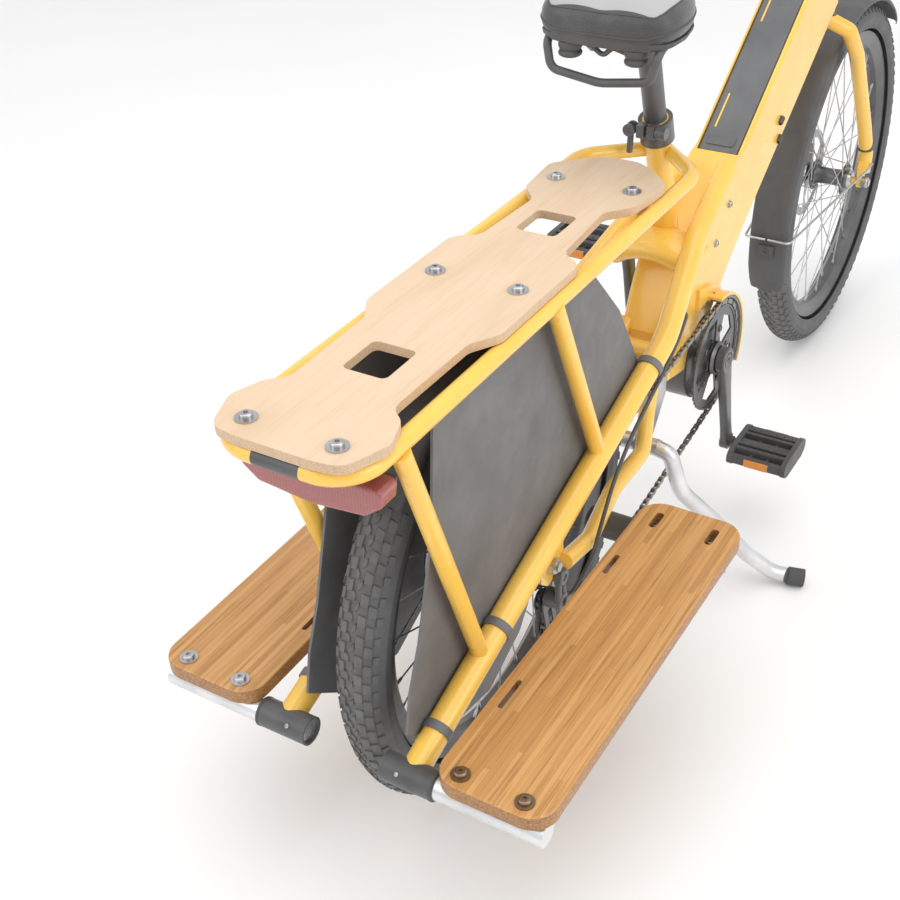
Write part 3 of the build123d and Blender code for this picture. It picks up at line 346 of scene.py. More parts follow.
def painted(name, colour=PAINT, deep=PAINT_DEEP, light=PAINT_LIGHT):
    """Gloss enamel with a clear coat, a little orange peel and faint dust."""
    shade = Shade(name)
    cloud = shade.noise(7.0, detail=4.0)
    base = shade.ramp(cloud, [(0.25, deep), (0.5, colour), (0.78, light)])
    dust = shade.scaled(shade.noise(160.0, detail=5.0), 0.55, 0.8, 0.0, 0.10)
    base = shade.blend(dust, base, (0.93, 0.88, 0.78))
    rough = shade.scaled(shade.noise(40.0), 0.3, 0.7, 0.26, 0.38)
    shade.set(Base_Color=base, Roughness=rough, Coat_Weight=0.55, Coat_Roughness=0.10)
    shade.bump(shade.noise(620.0, detail=1.0), 0.10, 0.15)
    return shade


def metal(name, colour, rough=0.35, brushed=(1, 1, 30), wear=0.12):
    """Metal with fine lines along one direction and a cloudy finish."""
    shade = Shade(name)
    lines = shade.noise(90.0, stretch=brushed, detail=4.0)
    cloud = shade.noise(22.0, detail=3.0)
    base = shade.ramp(cloud, [(0.3, tinted(colour, 1 - wear)), (0.7, tinted(colour, 1 + wear))])
    shade.set(Base_Color=base, Metallic=1.0, Roughness=shade.scaled(lines, 0.25, 0.75, rough - 0.1, rough + 0.12))
    shade.bump(lines, 0.08, 0.06)
    return shade


def coated(name, colour, rough=0.42, grain=900.0):
    """Satin powder coat on metal."""
    shade = Shade(name)
    speck = shade.noise(grain, detail=2.0)
    base = shade.ramp(shade.noise(18.0), [(0.3, tinted(colour, 0.8)), (0.7, tinted(colour, 1.3))])
    shade.set(Base_Color=base, Roughness=shade.scaled(speck, 0.3, 0.7, rough - 0.07, rough + 0.09), Coat_Weight=0.15,
              Coat_Roughness=0.3)
    shade.bump(speck, 0.12, 0.12)
    return shade


def moulded(name, colour, rough=0.5, grain=1400.0, depth=0.16):
    """Moulded plastic with a fine leather-like grain."""
    shade = Shade(name)
    cells = shade.cells(grain, feature="DISTANCE_TO_EDGE").outputs["Distance"]
    base = shade.ramp(shade.noise(14.0), [(0.3, tinted(colour, 0.85)), (0.7, tinted(colour, 1.2))])
    rough_map = shade.scaled(shade.noise(60.0), 0.3, 0.7, rough - 0.06, rough + 0.08)
    shade.set(Base_Color=base, Roughness=rough_map)
    shade.bump(cells, 0.25, depth)
    return shade


def tyre_rubber(name, axle):
    """Tyre rubber, dustier on the tread than on the sidewall."""
    shade = Shade(name)
    distance = shade.node("ShaderNodeVectorMath", operation="DISTANCE")
    flat = shade.node("ShaderNodeCombineXYZ")
    shade.feed(flat.inputs["X"], shade.axis("X"))
    shade.feed(flat.inputs["Z"], shade.axis("Z"))
    shade.feed(distance.inputs[0], flat.outputs["Vector"])
    centre = spot(axle)
    distance.inputs[1].default_value = (centre.x, 0.0, centre.z)
    radius = distance.outputs["Value"]
    sidewall = shade.ramp(shade.noise(30.0), [(0.3, (0.105, 0.105, 0.107)), (0.7, (0.135, 0.135, 0.137))])
    tread = shade.ramp(shade.noise(55.0, detail=5.0), [(0.3, (0.120, 0.118, 0.116)), (0.75, (0.185, 0.182, 0.178))])
    share = shade.scaled(radius, (WHEEL_R - 9) * MM, (WHEEL_R - 1) * MM, 0.0, 1.0)
    shade.set(Base_Color=shade.blend(share, sidewall, tread), Specular_IOR_Level=0.35,
              Roughness=shade.scaled(shade.noise(120.0), 0.3, 0.7, 0.58, 0.78))
    shade.bump(shade.noise(700.0), 0.3, 0.2)
    return shade


def plywood(name):
    """Pale birch plywood: figured faces and thin dark glue lines round the edge."""
    shade = Shade(name)
    low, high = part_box("deck")
    figure = shade.noise(26.0, stretch=(0.16, 1, 1), detail=6.0, distortion=0.6)
    face = shade.ramp(figure, [(0.25, (0.65, 0.46, 0.29)), (0.5, (0.71, 0.53, 0.36)), (0.8, (0.75, 0.58, 0.41))])
    fibre = shade.noise(300.0, stretch=(0.05, 1, 1), detail=3.0)
    face = shade.blend(shade.scaled(fibre, 0.5, 0.8, 0.0, 0.30), face, (0.55, 0.37, 0.21))
    plies = 7
    level = shade.scaled(shade.axis("Z"), low.z, high.z, 0.0, plies * pi)
    wave = shade.sums("ABSOLUTE", shade.sums("SINE", level))
    end_grain = shade.noise(500.0, stretch=(1, 1, 0.3), detail=3.0)
    edge = shade.ramp(wave, [(0.0, (0.20, 0.10, 0.05)), (0.30, (0.50, 0.31, 0.17)), (0.7, (0.76, 0.57, 0.38))])
    edge = shade.blend(shade.scaled(end_grain, 0.4, 0.75, 0.0, 0.4), edge, (0.42, 0.26, 0.14))
    upright = shade.sums("LESS_THAN", shade.sums("ABSOLUTE", shade.facing("Z")), 0.6)
    shade.set(Base_Color=shade.blend(upright, face, edge), Coat_Weight=0.12, Coat_Roughness=0.35,
              Roughness=shade.scaled(fibre, 0.3, 0.7, 0.42, 0.58))
    shade.bump(fibre, 0.12, 0.12)
    return shade


def bamboo(name):
    """Pressed bamboo: long strips of varied tone, dark fibre streaks and growth nodes."""
    shade = Shade(name)
    low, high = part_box("running_board_left")
    strip_width = 6.5 * MM
    strip = shade.sums("FLOOR", shade.sums("DIVIDE", shade.axis("Y"), strip_width))
    lane = shade.node("ShaderNodeCombineXYZ")
    long_step = shade.sums("FLOOR", shade.sums("ADD", shade.sums("MULTIPLY", shade.axis("X"), 3.1),
                                               shade.sums("MULTIPLY", strip, 0.37)))
    shade.feed(lane.inputs["X"], strip)
    shade.feed(lane.inputs["Y"], long_step)
    tone = shade.node("ShaderNodeTexWhiteNoise", noise_dimensions="3D")
    shade.feed(tone.inputs["Vector"], lane.outputs["Vector"])
    base = shade.ramp(tone.outputs["Value"], [(0.0, (0.50, 0.245, 0.075)), (0.45, (0.585, 0.30, 0.10)),
                                              (0.8, (0.66, 0.36, 0.13)), (1.0, (0.54, 0.265, 0.08))])
    fibre = shade.noise(240.0, stretch=(0.035, 1, 1), detail=5.0)
    streak = shade.scaled(fibre, 0.52, 0.72, 0.0, 0.75)
    base = shade.blend(streak, base, (0.30, 0.125, 0.035))
    pale = shade.noise(120.0, stretch=(0.03, 1, 1), detail=4.0)
    base = shade.blend(shade.scaled(pale, 0.55, 0.8, 0.0, 0.5), base, (0.74, 0.44, 0.18))
    seam = shade.sums("FRACT", shade.sums("DIVIDE", shade.axis("Y"), strip_width))
    dark_seam = shade.sums("LESS_THAN", seam, 0.07)
    base = shade.blend(shade.sums("MULTIPLY", dark_seam, 0.45), base, (0.26, 0.11, 0.03))
    level = shade.scaled(shade.axis("Z"), low.z, high.z, 0.0, 5.0)
    layer = shade.sums("FRACT", level)
    glue = shade.sums("LESS_THAN", layer, 0.10)
    end_grain = shade.noise(420.0, detail=4.0)
    edge = shade.ramp(end_grain, [(0.3, (0.24, 0.105, 0.035)), (0.6, (0.44, 0.22, 0.075)), (0.8, (0.60, 0.33, 0.12))])
    edge = shade.blend(shade.sums("MULTIPLY", glue, 0.7), edge, (0.10, 0.04, 0.015))
    upright = shade.sums("LESS_THAN", shade.sums("ABSOLUTE", shade.facing("Z")), 0.55)
    shade.set(Base_Color=shade.blend(upright, base, edge), Coat_Weight=0.20, Coat_Roughness=0.28,
              Roughness=shade.scaled(fibre, 0.3, 0.7, 0.38, 0.52))
    shade.bump(fibre, 0.15, 0.12)
    return shade


def lens(name, colour, rough=0.12):
    """Tinted clear plastic with fine moulded ribs behind it."""
    shade = Shade(name)
    ribs = shade.sums("ABSOLUTE", shade.sums("SINE", shade.sums("MULTIPLY", shade.axis("Y"), 900.0)))
    base = shade.blend(shade.scaled(ribs, 0.0, 1.0, 0.0, 0.35), colour, tinted(colour, 0.45))
    shade.set(Base_Color=base, Roughness=shade.scaled(shade.noise(80.0), 0.3, 0.7, rough, rough + 0.08),
              Coat_Weight=0.6, Coat_Roughness=0.06, Subsurface_Weight=0.2, Subsurface_Radius=(0.01, 0.002, 0.002))
    shade.bump(ribs, 0.25, 0.4)
    return shade


def leather(name, colour, scale=420.0, rough=0.5):
    """Saddle cover with a pebbled grain, sheen where it is rubbed, and painted shade darkening the grain's creases."""
    shade = Shade(name)
    pebbles = shade.cells(scale, feature="F1").outputs["Distance"]
    creases = shade.cells(scale * 0.6, feature="DISTANCE_TO_EDGE").outputs["Distance"]
    height = shade.sums("ADD", shade.sums("MULTIPLY", pebbles, -0.5), creases)
    base = shade.ramp(shade.noise(20.0), [(0.3, tinted(colour, 0.8)), (0.7, tinted(colour, 1.35))])
    # Painted shade: the colour is darkened along the grain's creases, where shade falls in the grooves.
    base = shade.blend(shade.scaled(creases, 0.0, 0.08, 0.5, 0.0), base, tinted(colour, 0.4))
    shade.set(Base_Color=base, Roughness=shade.scaled(shade.noise(35.0), 0.3, 0.7, rough - 0.1, rough + 0.1),
              Sheen_Weight=0.25, Sheen_Roughness=0.5, Coat_Weight=0.1, Coat_Roughness=0.4)
    shade.bump(height, 0.35, 0.35)
    return shade


def parted(shade, mask, colour, metallic=None, rough=None):
    """A second finish on the stretch of a node that a mask picks out."""
    old = shade.surface.inputs["Base Color"].links[0].from_socket
    shade.set(Base_Color=shade.blend(mask, old, colour))
    for name, value in (("Metallic", metallic), ("Roughness", rough)):
        if value is None:
            continue
        socket = shade.surface.inputs[name]
        before = socket.links[0].from_socket if socket.links else socket.default_value
        mixed = shade.node("ShaderNodeMix", data_type="FLOAT")
        shade.feed(mixed.inputs[0], mask)
        shade.feed(mixed.inputs[2], before)
        shade.feed(mixed.inputs[3], value)
        shade.set(**{name: mixed.outputs[0]})
    return shade


YELLOW = painted("yellow enamel").material
BLACK_COAT = coated("black coat", BLACK).material
BLACK_ALLOY = coated("black anodised alloy", SOFT_BLACK, rough=0.33, grain=1600.0).material
SILVER_ALLOY = metal("silver alloy", SILVER, rough=0.32).material
STEEL_FINISH = metal("plated steel", STEEL, rough=0.28).material
DARK_FINISH = metal("dark steel", DARK_STEEL, rough=0.36).material
CHAIN_FINISH = metal("chain steel", CHAIN_STEEL, rough=0.34).material
BLACK_PLASTIC = moulded("black plastic", BLACK).material
GUARD_GREY = moulded("guard ring", (0.20, 0.20, 0.205), rough=0.5).material
SEAM_CORD = moulded("seam cord", (0.075, 0.075, 0.078), rough=0.7, grain=900.0).material
SKIRT_PLASTIC = moulded("skirt plastic", (0.150, 0.150, 0.153), rough=0.55).material
BATTERY_PLASTIC = moulded("battery plastic", (0.120, 0.122, 0.126), rough=0.42).material
GRIP_RUBBER = moulded("grip rubber", SOFT_BLACK, rough=0.75, grain=700.0, depth=0.3).material
RED_LENS = lens("red lens", (0.40, 0.115, 0.11), rough=0.22).material
AMBER_LENS = lens("amber reflector", (0.85, 0.30, 0.02)).material
CLEAR_LENS = lens("clear lens", (0.75, 0.78, 0.80)).material
BIRCH = plywood("birch plywood").material
BAMBOO = bamboo("bamboo board").material


def saddle_finish():
    """Dark sides with a pale panel on top, inside the upper seam."""
    shade = leather("saddle cover", (0.060, 0.060, 0.062), rough=0.45)
    inside = shade.node("ShaderNodeAttribute", attribute_name="panel").outputs["Fac"]
    panel = shade.sums("GREATER_THAN", inside, 0.5)
    return parted(shade, panel, (0.40, 0.40, 0.405), rough=0.58).material


SADDLE_COVER = saddle_finish()


def kickstand_finish():
    shade = metal("stand alloy", SILVER, rough=0.38)
    feet = shade.sums("MULTIPLY", shade.beyond("Y", 225.5, absolute=True), shade.beyond("Z", 40, below=True))
    return parted(shade, feet, BLACK, metallic=0.0, rough=0.7).material


def fork_finish():
    shade = painted("fork enamel")
    axle = shade.sums("MULTIPLY", shade.beyond("Z", 330, below=True), shade.beyond("Y", 60.1, absolute=True))
    parted(shade, axle, STEEL, metallic=1.0, rough=0.3)
    race = shade.beyond("Z", 655)
    return parted(shade, race, BLACK, metallic=0.0, rough=0.4).material


def stays_finish():
    shade = painted("stay enamel")
    axle = shade.sums("MULTIPLY", shade.beyond("X", 12, below=True), shade.beyond("Y", 74.1, absolute=True))
    return parted(shade, axle, STEEL, metallic=1.0, rough=0.3).material


def head_finish():
    shade = painted("head tube enamel")
    low_cup = shade.beyond("Z", 661, below=True)
    return parted(shade, low_cup, BLACK, metallic=0.0, rough=0.4).material


def board_bolt_finish():
    shade = metal("board bolts", STEEL, rough=0.3)
    right = shade.beyond("Y", 0, below=True)
    return parted(shade, right, BRONZE, rough=0.35).material


CAD_FINISH = {
    "down_tube": YELLOW, "seat_tube": YELLOW, "seat_yoke": YELLOW, "lateral_tubes": YELLOW, "rack_frame": YELLOW,
    "rear_stays": stays_finish(), "head_tube": head_finish(), "fork": fork_finish(), "chain_guard": YELLOW,
    "rack_end_plate": BLACK_COAT, "board_sockets": BLACK_COAT, "board_bars": SILVER_ALLOY,
    "deck": BIRCH, "deck_bolts": STEEL_FINISH, "running_board_left": BAMBOO, "running_board_right": BAMBOO,
    "board_bolts": board_bolt_finish(), "skirts": SKIRT_PLASTIC, "rear_fender": BLACK_PLASTIC,
    "front_fender": BLACK_PLASTIC, "tail_light_lens": RED_LENS, "chain": DARK_FINISH, "derailleur": BLACK_ALLOY,
    "motor_housing": BLACK_ALLOY, "rear_caliper": BLACK_ALLOY, "front_caliper": BLACK_ALLOY,
    "shift_cable": BLACK_PLASTIC, "kickstand_bracket": SILVER_ALLOY, "seat_clamp": BLACK_ALLOY,
    "seat_clamp_lever": BLACK_ALLOY, "battery": BATTERY_PLASTIC, "seatpost": BLACK_ALLOY,
    "saddle_base": BLACK_PLASTIC, "saddle_pad": SADDLE_COVER, "saddle_rails": BLACK_COAT,
    "chainring": DARK_FINISH, "crank_arms": BLACK_ALLOY, "pedal_left": BLACK_PLASTIC, "pedal_right": BLACK_PLASTIC,
    "cassette": STEEL_FINISH, "guide_pulley": BLACK_PLASTIC, "tension_pulley": BLACK_PLASTIC,
    "rear_tyre": BLACK_PLASTIC, "front_tyre": BLACK_PLASTIC, "rear_rim": BLACK_ALLOY, "front_rim": BLACK_ALLOY,
    "rear_spokes": STEEL_FINISH, "front_spokes": STEEL_FINISH, "rear_hub": DARK_FINISH, "front_hub": DARK_FINISH,
    "fender_stays": STEEL_FINISH, "stem": BLACK_ALLOY, "handlebar": BLACK_ALLOY, "grips": GRIP_RUBBER,
    "control_bodies": BLACK_PLASTIC, "headlight": BLACK_PLASTIC, "brake_lever_left": BLACK_ALLOY,
    "brake_lever_right": BLACK_ALLOY, "shift_lever": BLACK_PLASTIC, "kickstand": kickstand_finish(),
}
for name, finish in CAD_FINISH.items():
    NODES[name].data.materials.clear()
    NODES[name].data.materials.append(finish)


# ---- shared small shapes --------------------------------------------------------------
def rounded_outline(half_u, half_v, radius, corner_steps=4):
    """A rectangle's outline with round corners, as (u, v) points."""
    points = []
    for quadrant, (su, sv) in enumerate(((1, 1), (-1, 1), (-1, -1), (1, -1))):
        for k in range(corner_steps + 1):
            a = radians(90 * (quadrant + k / corner_steps))
            points.append((su * (half_u - radius) + radius * cos(a), sv * (half_v - radius) + radius * sin(a)))
    return points


def swept_bar(piece, start, end, side_way, sections):
    """A bar with rounded corners; each section is (share of the length, half width, half thickness)."""
    start, end, side_way = Vector(start), Vector(end), Vector(side_way).normalized()
    along = (end - start).normalized()
    other = along.cross(side_way)
    rings = []
    for share, half_u, half_v in sections:
        centre = start.lerp(end, share)
        outline = rounded_outline(half_u, half_v, min(half_u, half_v) * 0.7)
        rings.append([centre + side_way * u + other * v for u, v in outline])
    piece.loft(rings)


def capsule(c1, r1, c2, r2, steps=9):
    """The outline round two circles, as (x, z) points."""
    heading = degrees(atan2(c1[1] - c2[1], c1[0] - c2[0]))
    points = []
    for centre, radius, start in ((c1, r1, heading - 90), (c2, r2, heading + 90)):
        points += circle_points(centre, radius, steps, start, start + 180)
    return points


def pierced_plate(piece, outer, inner, y, thickness):
    """A flat plate in the x, z plane with a window; both outlines have the same count of points."""
    rings = [[(x, level, z) for x, z in outline]
             for outline, level in ((outer, y), (outer, y + thickness), (inner, y + thickness), (inner, y))]
    piece.loft(rings, looped=True)


def socket_bolt(piece, place, outward, head_r=4.0, height=3.6, washer_r=0.0):
    """A cap screw's head with its hexagon socket, on a washer if one is asked for."""
    base = 0.0
    if washer_r:
        piece.turned(place, outward, [(washer_r, -0.4), (washer_r, 0.9), (washer_r - 0.4, 1.2)], 24)
        base = 1.2
    piece.turned(place, outward, [(head_r, base - 0.4), (head_r, base + height - 0.7), (head_r - 0.7, base + height),
                                  (head_r * 0.55, base + height), (head_r * 0.5, base + height * 0.4)], 18)


# ---- tyres --------------------------------------------------------------------------
SECTION_R = 30.0
CASING_R = 28.0
TREAD_PITCHES = 84


def tyre_point(axle, angle, lean, section_radius):
    """A place on the tyre: angle round the wheel, lean round the section from its crown."""
    centre_r = WHEEL_R - SECTION_R
    radius = centre_r + section_radius * cos(radians(lean))
    return polar(axle, radius, angle, section_radius * sin(radians(lean)))


def tread_block(piece, axle, angle, lean, outline):
    """One raised block: outline of (degrees round the wheel, degrees round the section)."""
    base = [tyre_point(axle, angle + a * 1.06, lean + b * 1.06, CASING_R - 0.4) for a, b in outline]
    top = [tyre_point(axle, angle + a, lean + b, SECTION_R - 0.05) for a, b in outline]
    piece.loft([base, top])


def make_tyre(label, axle, body):
    piece = Piece(f"{label}_tyre_tread")
    outer_leans = [-124, -118, -108, -96, -84, -72, -58, -44, -30, -15, 0, 15, 30, 44, 58, 72, 84, 96, 108, 118, 124]
    outer = []
    for lean in outer_leans:
        swell = 0.9 if abs(lean) in (84, 108) else 0.0
        outer.append((lean, CASING_R + swell))
    inner = [(lean, CASING_R - 3.0) for lean in reversed(outer_leans)]
    steps = 144
    rings = []
    for k in range(steps):
        angle = 360 * k / steps
        rings.append([tyre_point(axle, angle, lean, r) for lean, r in outer + inner])
    piece.loft(rings, looped=True)
    pitch = 360 / TREAD_PITCHES
    chevron = [(-1.55, -9), (-0.35, -9), (0.55, -1.2), (-0.65, -1.2)]
    shoulder = [(-1.3, -8), (1.0, -8), (1.3, 8), (-0.9, 8)]
    edge = [(-0.9, -7), (0.9, -6), (0.9, 6), (-0.9, 7)]
    for k in range(TREAD_PITCHES):
        angle = pitch * k
        for side in SIDES:
            shift = 0.25 * pitch * side
            tread_block(piece, axle, angle + shift, 0, [(a, side * -b) for a, b in chevron])
            tread_block(piece, axle, angle + pitch / 2 + shift, side * 20, [(a, side * b) for a, b in shoulder])
            tread_block(piece, axle, angle + shift, side * 39, [(a, side * b) for a, b in shoulder])
            tread_block(piece, axle, angle + pitch / 2 + shift, side * 57, [(a, side * b) for a, b in edge])
    rubber = tyre_rubber(f"{label} tyre rubber", axle).material
    piece.finish(body, "tyre_rubber", rubber, [f"{label}_tyre"], crease=28)


# ---- hubs, brake discs, nipples and valves --------------------------------------------
def make_disc(piece, axle, y, radius):
    """Brake disc: braking ring with rows of holes, on a spider of swept arms."""
    thick = 1.9
    track = 15.0
    slots = 24
    per_slot = 6
    count = slots * per_slot
    pattern = (0.0, 0.35, 0.75, 1.0, 0.75, 0.35)
    levels = (0.0, 0.30, 0.62, 1.0)
    for band in range(3):
        low_r = radius - track + track * levels[band]
        high_r = radius - track + track * levels[band + 1]
        rings = []
        for k in range(count):
            angle = 360 * k / count
            wave = 0.8 * pattern[k % per_slot]
            inner_r = low_r + (wave if band else -wave)
            rings.append([polar(axle, r, angle, yy) for r, yy in
                          ((inner_r, y), (high_r - 0.7, y), (high_r - 0.7, y + thick), (inner_r, y + thick))])
        piece.loft(rings, looped=True)
    ties = 36
    for k in range(ties):
        for band in (1, 2):
            radius_here = radius - track + track * levels[band]
            angle = 360 * (k + 0.5 * band) / ties
            spoke = [polar(axle, radius_here - 2.0, angle - 1.6, y + 0.2), polar(axle, radius_here + 2.0, angle - 1.0, y + 0.2),
                     polar(axle, radius_here + 2.0, angle + 1.6, y + 0.2), polar(axle, radius_here - 2.0, angle + 1.0, y + 0.2)]
            piece.loft([spoke, [p + Vector((0, thick - 0.4, 0)) for p in spoke]])
    arms = 6
    for k in range(arms):
        start = 360 / arms * k
        sweep_points = [(23.0, start), (36.0, start + 8), (52.0, start + 18), (radius - track + 1, start + 26)]
        left, right = [], []
        for r, a in sweep_points:
            half = 210.0 / r
            left.append((r, a - half))
            right.append((r, a + half))
        outline = left + right[::-1]
        low = [polar(axle, r, a, y + 0.1) for r, a in outline]
        piece.loft([low, [p + Vector((0, thick - 0.2, 0)) for p in low]])
        bolt = polar(axle, 20.0, start + 8, y + thick)
        piece.turned(bolt, (0, 1, 0), [(3.4, 0), (3.4, 1.4), (2.4, 2.4), (1.4, 2.4), (1.4, 1.2)], steps=12)
    piece.turned((axle[0], y, axle[2]), (0, 1, 0), [(8, 0), (25.5, 0), (25.5, thick), (8, thick)], 48, looped=True)


def make_hub(label, axle, body, flanges, disc_y, disc_r, right_end):
    """Hub shell with drilled-look flanges, a waist, end caps and the disc."""
    piece = Piece(f"{label}_hub_and_disc")
    left, right = flanges
    profile = [
        (6.8, disc_y - 0.5), (12.5, disc_y - 0.5), (15.5, disc_y - 4), (15.5, left + 5), (18, left + 2.2),
        (28.2, left + 1.8), (29, left + 1.0), (29, left - 1.0), (28.2, left - 1.8), (19, left - 2.2),
        (15.5, left - 8), (14.5, (left + right) / 2), (15.5, right + 8), (19, right + 2.2), (28.2, right + 1.8),
        (29, right + 1.0), (29, right - 1.0), (28.2, right - 1.8), (17, right - 2.2), (14, right_end + 3),
        (12.5, right_end), (6.8, right_end),
    ]
    piece.turned((axle[0], 0, axle[2]), (0, 1, 0), profile, 64, looped=True)
    for flange in flanges:
        for k in range(18):
            hole = polar(axle, 24.6, 20 * k, flange)
            head = 2.1
            piece.turned(hole, (0, 1, 0), [(0.9, -head - 1.0), (1.7, -head), (1.7, head), (0.9, head + 1.0)], steps=8)
    make_disc(piece, axle, disc_y, disc_r)
    piece.finish(body, "dark_steel", DISC_FINISH, [f"{label}_hub"], crease=32)


def disc_shade():
    shade = metal("hub and disc", DARK_STEEL, rough=0.34)
    shell = shade.sums("LESS_THAN", shade.sums("ABSOLUTE", shade.axis("Y")), 0.036)
    inverse = shade.sums("SUBTRACT", 1.0, shell)
    return parted(shade, inverse, STEEL, rough=0.25).material


DISC_FINISH = disc_shade()


def make_nipples(label, axle, body, flanges):
    """Spoke nipples at the rim and the tube's valve."""
    piece = Piece(f"{label}_nipples_and_valve")
    rim_r = half_size(f"{label}_rim").z / MM - 3.4 - 22.0
    flange_r, cross, per_group = 30.2, 58.0, 9
    for side, flange in zip((1, -1), flanges):
        for lean in (1, -1):
            for i in range(per_group):
                hub_angle = 360 / per_group * i + (0 if side > 0 else 10) + (0 if lean > 0 else 20)
                rim_angle = hub_angle + lean * cross
                hub_end = polar(axle, flange_r, hub_angle, flange + 2.6 * lean)
                rim_end = polar(axle, rim_r, rim_angle, side * 3.0)
                along = (hub_end - rim_end).normalized()
                piece.tube([rim_end - along * 0.5, rim_end + along * 8, rim_end + along * 12],
                           [2.1, 2.0, 1.5], sides=8)
    valve_angle = 205
    foot = polar(axle, rim_r + 1, valve_angle, 0)
    inward = (Vector(axle) - foot).normalized()
    piece.turned(foot, inward, [(4.2, -1), (4.2, 1.5), (2.9, 2.2), (2.9, 22), (3.9, 23), (3.9, 33), (2.6, 35.5)], 16)
    piece.finish(body, "steel", STEEL_FINISH, crease=40)


WHEELS = (
    ("rear", REAR_AXLE, "rear_wheel", (32.0, -28.0), 45.0, 90.0, -32.0),
    ("front", FRONT_AXLE, "front_wheel", (26.0, -29.0), 37.5, 80.0, -42.0),
)
for label, axle, body, flanges, disc_y, disc_r, right_end in WHEELS:
    make_tyre(label, axle, body)
    make_hub(label, axle, body, flanges, disc_y, disc_r, right_end)
    make_nipples(label, axle, body, flanges)


# ---- fenders ------------------------------------------------------------------------
FENDER_R = WHEEL_R + 12.0
FENDER_HALF = 33.0
FENDER_EDGE_DROP = 12.0


def fender_shell(piece, axle, start, end, steps):
    """A crowned shell with a rolled edge, along an arc over the tyre."""
    crown = FENDER_R + 1.9
    outer = [(-FENDER_HALF, crown - FENDER_EDGE_DROP), (-FENDER_HALF, crown - 8.5), (-31, crown - 4.6),
             (-26, crown - 2.2), (-14, crown - 0.5), (0, crown), (14, crown - 0.5), (26, crown - 2.2),
             (31, crown - 4.6), (FENDER_HALF, crown - 8.5), (FENDER_HALF, crown - FENDER_EDGE_DROP)]
    wall = 1.7
    inner = [(y * 0.945, r - (0.0 if abs(y) >= FENDER_HALF else wall)) for y, r in reversed(outer)]
    rings = []
    for k in range(steps):
        angle = start + (end - start) * k / (steps - 1)
        ease = min(k, steps - 1 - k, 3) / 3
        narrow = 0.86 + 0.14 * sqrt(ease)
        rings.append([polar(axle, r, angle, y * narrow) for y, r in outer + inner])
    piece.loft(rings)


def make_rear_fender():
    piece = Piece("rear_fender_shell")
    fender_shell(piece, REAR_AXLE, 16, 137, 52)
    top = (-26, 0, AXLE_Z + FENDER_R + 1.5)
    piece.turned(top, (0, 0, 1), [(9, 0), (9, 2), (7, 2.6), (7, 10.5)], 20)
    light_x = in_mm(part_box("tail_light_lens")[1]).x
    deck_under = in_mm(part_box("deck")[0]).z
    backing = [(-79, 630), (79, 630), (75.5, 612), (59, 599.5), (0, 596), (-59, 599.5), (-75.5, 612)]
    piece.plate(backing, (light_x, 0, 0), (0, 1, 0), (0, 0, 1), 3.6)
    for side in SIDES:
        tab = [(side * 42, 629), (side * 58, 629), (side * 58, deck_under), (side * 42, deck_under)]
        piece.plate(tab, (light_x, 0, 0), (0, 1, 0), (0, 0, 1), 3.4)
        socket_bolt(piece, (light_x + 0.3, side * 50, 645), (-1, 0, 0), head_r=3.6, height=2.4)
    piece.finish("frame", "black_plastic", BLACK_PLASTIC, ["rear_fender"], crease=38)


def make_front_fender():
    piece = Piece("front_fender_shell")
    fender_shell(piece, FRONT_AXLE, 45, 196, 60)
    piece.finish("steering", "black_plastic", BLACK_PLASTIC, ["front_fender"], crease=38)


make_rear_fender()
make_front_fender()


# ---- chain, chainring bolts and cassette ----------------------------------------------
CHAIN_PITCH = 12.7
GUIDE_PULLEY = in_mm(middle("guide_pulley"))
TENSION_PULLEY = in_mm(middle("tension_pulley"))


def pitch_radius(teeth):
    return CHAIN_PITCH / (2 * sin(pi / teeth))


CHAIN_STATIONS = (
    (CRANK, pitch_radius(42), 1),
    (REAR_AXLE, pitch_radius(18), 1),
    (GUIDE_PULLEY, pitch_radius(11), -1),
    (TENSION_PULLEY, pitch_radius(11), 1),
)


def chain_route():
    """Close-set points along the chain's centre line, as (x, z)."""
    leave, arrive = [], []
    for i, (c1, r1, s1) in enumerate(CHAIN_STATIONS):
        c2, r2, s2 = CHAIN_STATIONS[(i + 1) % len(CHAIN_STATIONS)]
        dx, dz = c2.x - c1.x, c2.z - c1.z
        angle = atan2(dz, dx) + acos((s2 * r2 - s1 * r1) / hypot(dx, dz))
        leave.append((c1.x - s1 * r1 * cos(angle), c1.z - s1 * r1 * sin(angle)))
        arrive.append((c2.x - s2 * r2 * cos(angle), c2.z - s2 * r2 * sin(angle)))
    route = []
    for i, (c, r, turn) in enumerate(CHAIN_STATIONS):
        start, end = arrive[i - 1], leave[i]
        a0 = atan2(start[1] - c.z, start[0] - c.x)
        a1 = atan2(end[1] - c.z, end[0] - c.x)
        swept = (a1 - a0) * turn % tau
        steps = max(int(swept * r / 1.5), 4)
        for k in range(steps):
            a = a0 + turn * swept * k / steps
            route.append((c.x + r * cos(a), c.z + r * sin(a)))
        run = hypot(arrive[i][0] - end[0], arrive[i][1] - end[1])
        steps = int(run / 2)
        for k in range(steps):
            route.append((end[0] + (arrive[i][0] - end[0]) * k / steps, end[1] + (arrive[i][1] - end[1]) * k / steps))
    return route


def evenly_spaced(route, pitch):
    """Places at equal steps round a closed route, as near the pitch as a whole even count allows."""
    closed = route + route[:1]
    lengths = [0.0]
    for a, b in zip(closed, closed[1:]):
        lengths.append(lengths[-1] + hypot(b[0] - a[0], b[1] - a[1]))
    count = 2 * round(lengths[-1] / pitch / 2)
    places = []
    j = 0
    for k in range(count):
        target = lengths[-1] * k / count
        while lengths[j + 1] < target:
            j += 1
        share = (target - lengths[j]) / (lengths[j + 1] - lengths[j])
        places.append((closed[j][0] + (closed[j + 1][0] - closed[j][0]) * share,
                       closed[j][1] + (closed[j + 1][1] - closed[j][1]) * share))
    return places


